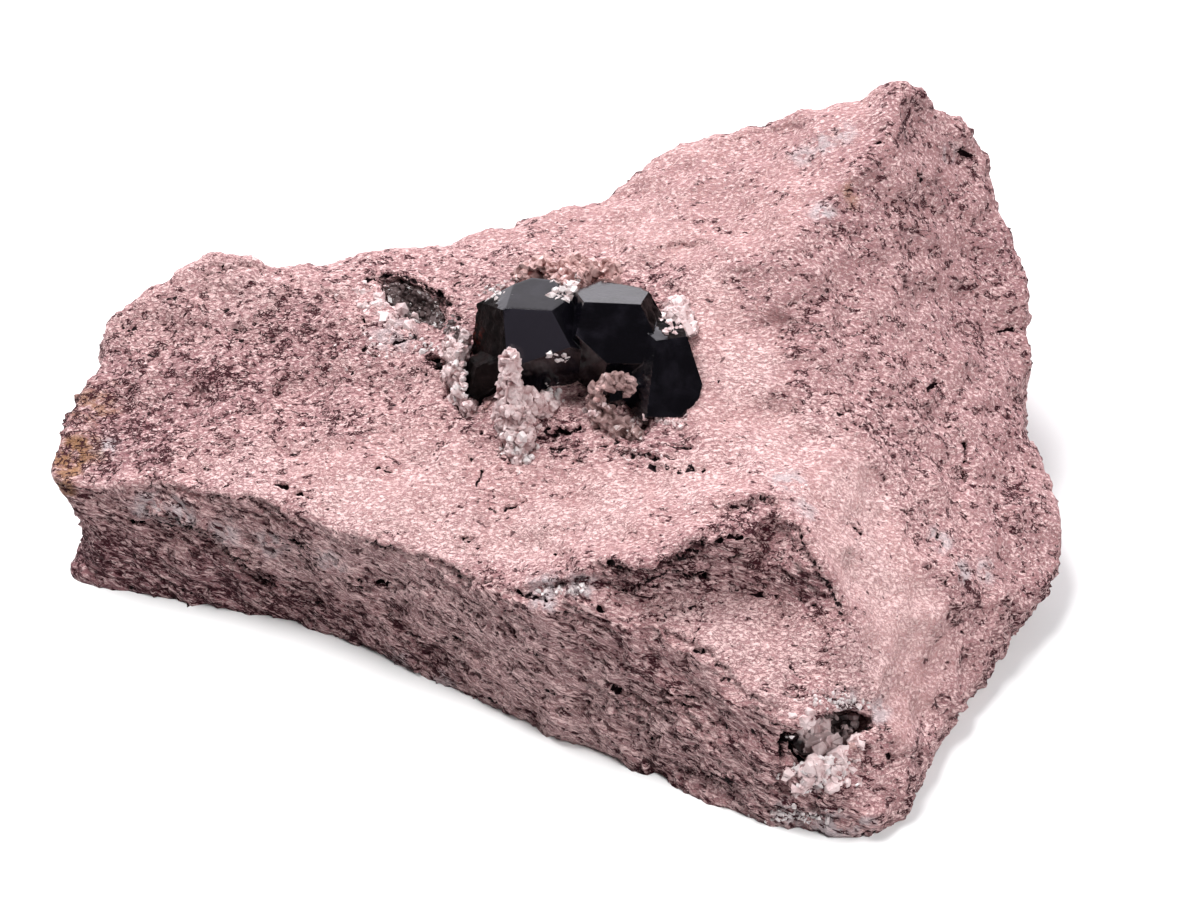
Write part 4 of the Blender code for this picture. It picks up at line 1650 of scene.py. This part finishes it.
MILKY_PLACES = (
    Seeding((561, 287), (18, 11), 34, (0.28, 0.60)),
    Seeding((559, 359), (14, 6), 18, (0.26, 0.50), (0.4, 1.0)),
    Seeding((494, 292), (14, 8), 26, (0.16, 0.36), (0.4, 1.0)),
    Seeding((508, 281), (10, 3), 12, (0.12, 0.24), (0.4, 1.0)),
    Seeding((550, 392), (9, 8), 16, (0.16, 0.36)),
    Seeding((518, 450), (12, 14), 26, (0.20, 0.46)),
    Seeding((458, 372), (10, 24), 24, (0.18, 0.44)),
    Seeding((425, 346), (18, 12), 16, (0.18, 0.40), (0.4, 1.2)),
    Seeding((822, 778), (34, 14), 50, (0.20, 0.50), (0.4, 1.0)),
    Seeding((830, 762), (24, 6), 20, (0.30, 0.60), (0.4, 1.0)),
    Seeding((788, 737), (3, 2), 3, (0.20, 0.30)),
    Seeding((842, 703), (30, 8), 44, (0.16, 0.40), (0.3, 0.8)),
    Seeding((805, 485), (10, 8), 8, (0.12, 0.24), (0.3, 0.8)),
    Seeding((800, 816), (36, 7), 50, (0.16, 0.42), (0.3, 0.8)),
    Seeding((565, 590), (34, 5), 30, (0.14, 0.34), (0.3, 0.8)),
)
ROSY_PLACES = (
    Seeding((391, 316), (14, 9), 8, (0.55, 0.90), (0.7, 1.2)),
    Seeding((409, 322), (7, 8), 5, (0.45, 0.70), (0.7, 1.1)),
    Seeding((374, 303), (20, 14), 44, (0.30, 0.60), (0.4, 1.2)),
    Seeding((362, 290), (16, 8), 20, (0.20, 0.42), (0.4, 1.0)),
    Seeding((372, 345), (30, 20), 60, (0.16, 0.40), (0.3, 0.9)),
    Seeding((677, 318), (13, 9), 46, (0.28, 0.60)),
    Seeding((670, 329), (10, 4), 18, (0.22, 0.44)),
    Seeding((672, 421), (20, 6), 30, (0.16, 0.38)),
    Seeding((640, 419), (14, 5), 16, (0.14, 0.30)),
    Seeding((512, 405), (13, 24), 24, (0.20, 0.46)),
    Seeding((530, 425), (16, 14), 20, (0.20, 0.46), (0.4, 1.2)),
    Seeding((452, 350), (12, 18), 24, (0.18, 0.42)),
    Seeding((596, 412), (10, 6), 14, (0.16, 0.34), (0.4, 1.2)),
    Seeding((815, 698), (24, 9), 30, (0.16, 0.38), (0.3, 0.8)),
    Seeding((845, 762), (14, 10), 30, (0.18, 0.40), (0.4, 1.0)),
    Seeding((819, 748), (10, 6), 14, (0.95, 1.45), (0.7, 1.2)),
    Seeding((838, 746), (9, 5), 10, (0.75, 1.20), (0.6, 1.1)),
    Seeding((857, 740), (9, 5), 10, (0.55, 0.95), (0.6, 1.1)),
    Seeding((813, 725), (15, 5), 20, (0.50, 0.90), (0.5, 1.0)),
    Seeding((820, 776), (34, 18), 60, (0.35, 0.85), (0.4, 0.9)),
    Seeding((640, 455), (30, 8), 26, (0.14, 0.34), (0.3, 0.7)),
)
RUSTY_PLACES = (
    Seeding((578, 264), (22, 9), 46, (0.12, 0.30)),
    Seeding((607, 279), (14, 5), 20, (0.12, 0.26)),
    Seeding((484, 408), (7, 9), 12, (0.12, 0.28)),
    Seeding((600, 392), (6, 10), 12, (0.10, 0.24)),
    Seeding((850, 744), (6, 4), 8, (0.14, 0.26)),
)
DRUSE_PLACES = (
    Seeding((398, 290), (18, 7), 46, (0.10, 0.26)),
    Seeding((425, 306), (18, 9), 60, (0.10, 0.26)),
    Seeding((446, 324), (12, 9), 46, (0.10, 0.24)),
    Seeding((453, 334), (8, 6), 20, (0.08, 0.20)),
    Seeding((826, 731), (16, 4), 24, (0.10, 0.22)),
)


@dataclass
class SmallCrystals:
    """Small crystals and grains that sit on the rock and on the garnets."""

    name: str
    view: Viewpoint
    finish: QuartzFinish
    seedings: tuple[Seeding, ...]
    slot: str = "quartz"
    sunk: float = 0.45
    lean: float = 0.8
    lump_share: float = 0.85
    seed: int = 3

    def build(self, ground: BVHTree) -> bpy.types.Object:
        """Grow the crystals on the ground that the camera sees.

        Args:
            ground: the finished surfaces of the rock and of what stands on it.

        Returns:
            All the crystals as one piece.
        """
        bm = bmesh.new()
        dice = random.Random(f"{self.seed} {self.name}")
        for seeding in self.seedings:
            for _ in range(seeding.count):
                spot = (dice.gauss(seeding.spot[0], seeding.spread[0] / 2),
                        dice.gauss(seeding.spot[1], seeding.spread[1] / 2))
                radius = dice.uniform(*seeding.radius)
                length = radius * dice.uniform(*seeding.length)
                lean = stray(dice, self.lean)
                hit, normal = ground.ray_cast(self.view.location(), self.view.ray(spot))[:2]
                if hit is None:
                    continue
                axis = (normal + lean).normalized()
                add = add_lump if dice.random() < self.lump_share else add_crystal
                add(bm, hit - normal * radius * self.sunk * MM, axis, radius, length, dice)
        for vert in bm.verts:
            vert.co.z = max(0.0, vert.co.z)
        trait_layers(bm)
        return object_from(self.name, bm, self.finish.material())


def ground_of(pieces: list[bpy.types.Object]) -> BVHTree:
    """One surface made of several finished pieces.

    Args:
        pieces: the pieces.

    Returns:
        The surface, in metres.
    """
    bm = bmesh.new()
    for piece in pieces:
        bm.from_mesh(piece.data)
    tree = BVHTree.FromBMesh(bm)
    bm.free()
    return tree


# ---- the studio ---------------------------------------------------------------------------------

@dataclass(frozen=True)
class Lamp:
    """A round softbox that points at the specimen; mirrored says whether glossy faces show it."""

    name: str
    from_side: Place
    power: float
    size: float = 500.0
    distance: float = 900.0
    mirrored: bool = True

    def build(self) -> None:
        """Hang the lamp."""
        data = bpy.data.lights.new(self.name, "AREA")
        data.shape = "DISK"
        data.size = self.size * MM
        data.energy = self.power
        lamp = bpy.data.objects.new(self.name, data)
        direction = Vector(self.from_side).normalized()
        lamp.location = direction * self.distance * MM
        lamp.rotation_euler = direction.to_track_quat("Z", "Y").to_euler()
        lamp.visible_glossy = self.mirrored
        bpy.context.scene.collection.objects.link(lamp)


@dataclass(frozen=True)
class Studio:
    """A pale floor, a key lamp behind to the left, a fill from the right, a pale wall behind."""

    floor_size: float = 3000.0
    floor_colour: Colour = (0.86, 0.86, 0.86)
    floor_cloud: float = 60.0
    floor_tone: float = 0.985
    floor_roughness: float = 0.9
    floor_gloss: float = 0.1
    lamps: tuple[Lamp, ...] = (Lamp("key", (-0.34, 0.34, 0.88), 12.0),
                               Lamp("fill", (0.62, -0.42, 0.66), 6.5, mirrored=False))
    air: Colour = (0.97, 0.93, 1.0)
    wall_rise: Range = (0.15, 0.95)
    wall_glow: float = 1.9
    room_glow: float = 0.05

    def floor(self) -> bpy.types.Object:
        """The floor that the specimen rests on.

        Returns:
            The floor.
        """
        bm = bmesh.new()
        bmesh.ops.create_grid(bm, x_segments=1, y_segments=1, size=self.floor_size / 2 * MM)
        graph = Graph("floor")
        tone = graph.blend(graph.noise(self.floor_cloud, 2.0), self.floor_colour,
                           tuple(self.floor_tone * part for part in self.floor_colour))
        graph.link(tone, graph.shader.inputs["Base Color"])
        graph.set(roughness=self.floor_roughness, specular_ior_level=self.floor_gloss)
        mesh = bpy.data.meshes.new("floor")
        bm.to_mesh(mesh)
        bm.free()
        mesh.materials.append(graph.material)
        floor = bpy.data.objects.new("floor", mesh)
        bpy.context.scene.collection.objects.link(floor)
        return floor

    def surroundings(self) -> None:
        """A dim room with a pale wall behind the specimen."""
        world = bpy.data.worlds.new("studio")
        bpy.context.scene.world = world
        world.use_nodes = True
        tree = world.node_tree
        split = tree.nodes.new("ShaderNodeSeparateXYZ")
        coordinates = tree.nodes.new("ShaderNodeTexCoord")
        tree.links.new(coordinates.outputs["Generated"], split.inputs[0])
        glow = tree.nodes.new("ShaderNodeMapRange")
        glow.interpolation_type = "SMOOTHSTEP"
        low, high = self.wall_rise
        for key, number in (("From Min", low), ("From Max", high),
                            ("To Min", self.room_glow), ("To Max", self.wall_glow)):
            glow.inputs[key].default_value = number
        tree.links.new(split.outputs["Y"], glow.inputs["Value"])
        background = tree.nodes["Background"]
        background.inputs["Color"].default_value = (*self.air, 1.0)
        tree.links.new(glow.outputs["Result"], background.inputs["Strength"])

    def build(self) -> None:
        """Set the stage."""
        self.floor()
        for lamp in self.lamps:
            lamp.build()
        self.surroundings()
        bpy.context.scene.view_settings.view_transform = "Standard"


MILKY = QuartzFinish(white=(0.80, 0.72, 0.72), dust_and_shade=(0.50, 0.31, 0.30), see_through=0.25)
ROSY = QuartzFinish("quartz_rosy", (0.80, 0.64, 0.64), (0.36, 0.16, 0.16), 0.75, 0.2)
RUSTY = QuartzFinish("quartz_rusty", (0.66, 0.43, 0.41), (0.16, 0.035, 0.030), 0.9, 0.1)
RING = QuartzFinish("quartz_fringe", (0.44, 0.29, 0.28), (0.08, 0.03, 0.025), 0.9, 0.1)
DRUSE = QuartzFinish("druse", (0.14, 0.10, 0.10), (0.025, 0.012, 0.012), 0.8, 0.1)
LINING = QuartzFinish("druse_front", (0.50, 0.38, 0.38), (0.010, 0.005, 0.005), 0.7, 0.1)
GROWTHS = (
    QuartzGrowth("quartz_spur", ROSY, crystals=60),
    QuartzGrowth("quartz_collar", ROSY, crystals=50),
    QuartzGrowth("quartz_cap", RUSTY, crystals=60),
    QuartzGrowth("quartz_nub", ROSY, crystals=26),
    QuartzGrowth("quartz_fringe", RING, crystals=30),
    QuartzGrowth("vug_druse_back", DRUSE, "druse", chunk_depth=0.06, chip_depth=0.05, crystals=150,
                 crystal_radius=(0.10, 0.26), lump_share=0.2),
    QuartzGrowth("vug_druse_front", LINING, "druse", chunk_depth=0.30, chip_depth=0.16, crystals=70,
                 crystal_radius=(0.14, 0.40),
                 # Painted shadow in the front vug's deep hole and under its slot.
                 shadow_spots=(((795, 749), 1.15), ((803, 752), 0.8), ((812, 729), 0.5),
                             ((828, 727), 0.6), ((840, 722), 0.7), ((852, 724), 0.7),
                             ((862, 728), 0.6), ((838, 735), 0.6))),
)


def main() -> None:
    """Build the specimen's looks around the CAD frame."""
    logging.basicConfig(level=logging.INFO, format="%(name)s %(message)s")
    # Without a seed, vector noise takes one from the clock, and the rock differs from run to run.
    noise.seed_set(NOISE_SEED)
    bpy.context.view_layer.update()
    view = Viewpoint()
    view.build()
    Studio().build()
    pieces = [Rhyolite(view).build(), Garnets().build()]
    pieces += [growth.build() for growth in GROWTHS]
    ground = ground_of(pieces)
    SmallCrystals("druse_crystals", view, DRUSE, DRUSE_PLACES, "druse", lump_share=0.2).build(ground)
    SmallCrystals("milky_crystals", view, MILKY, MILKY_PLACES).build(ground)
    SmallCrystals("rosy_crystals", view, ROSY, ROSY_PLACES).build(ground)
    SmallCrystals("rusty_crystals", view, RUSTY, RUSTY_PLACES).build(ground)


if __name__ == "__main__":
    main()
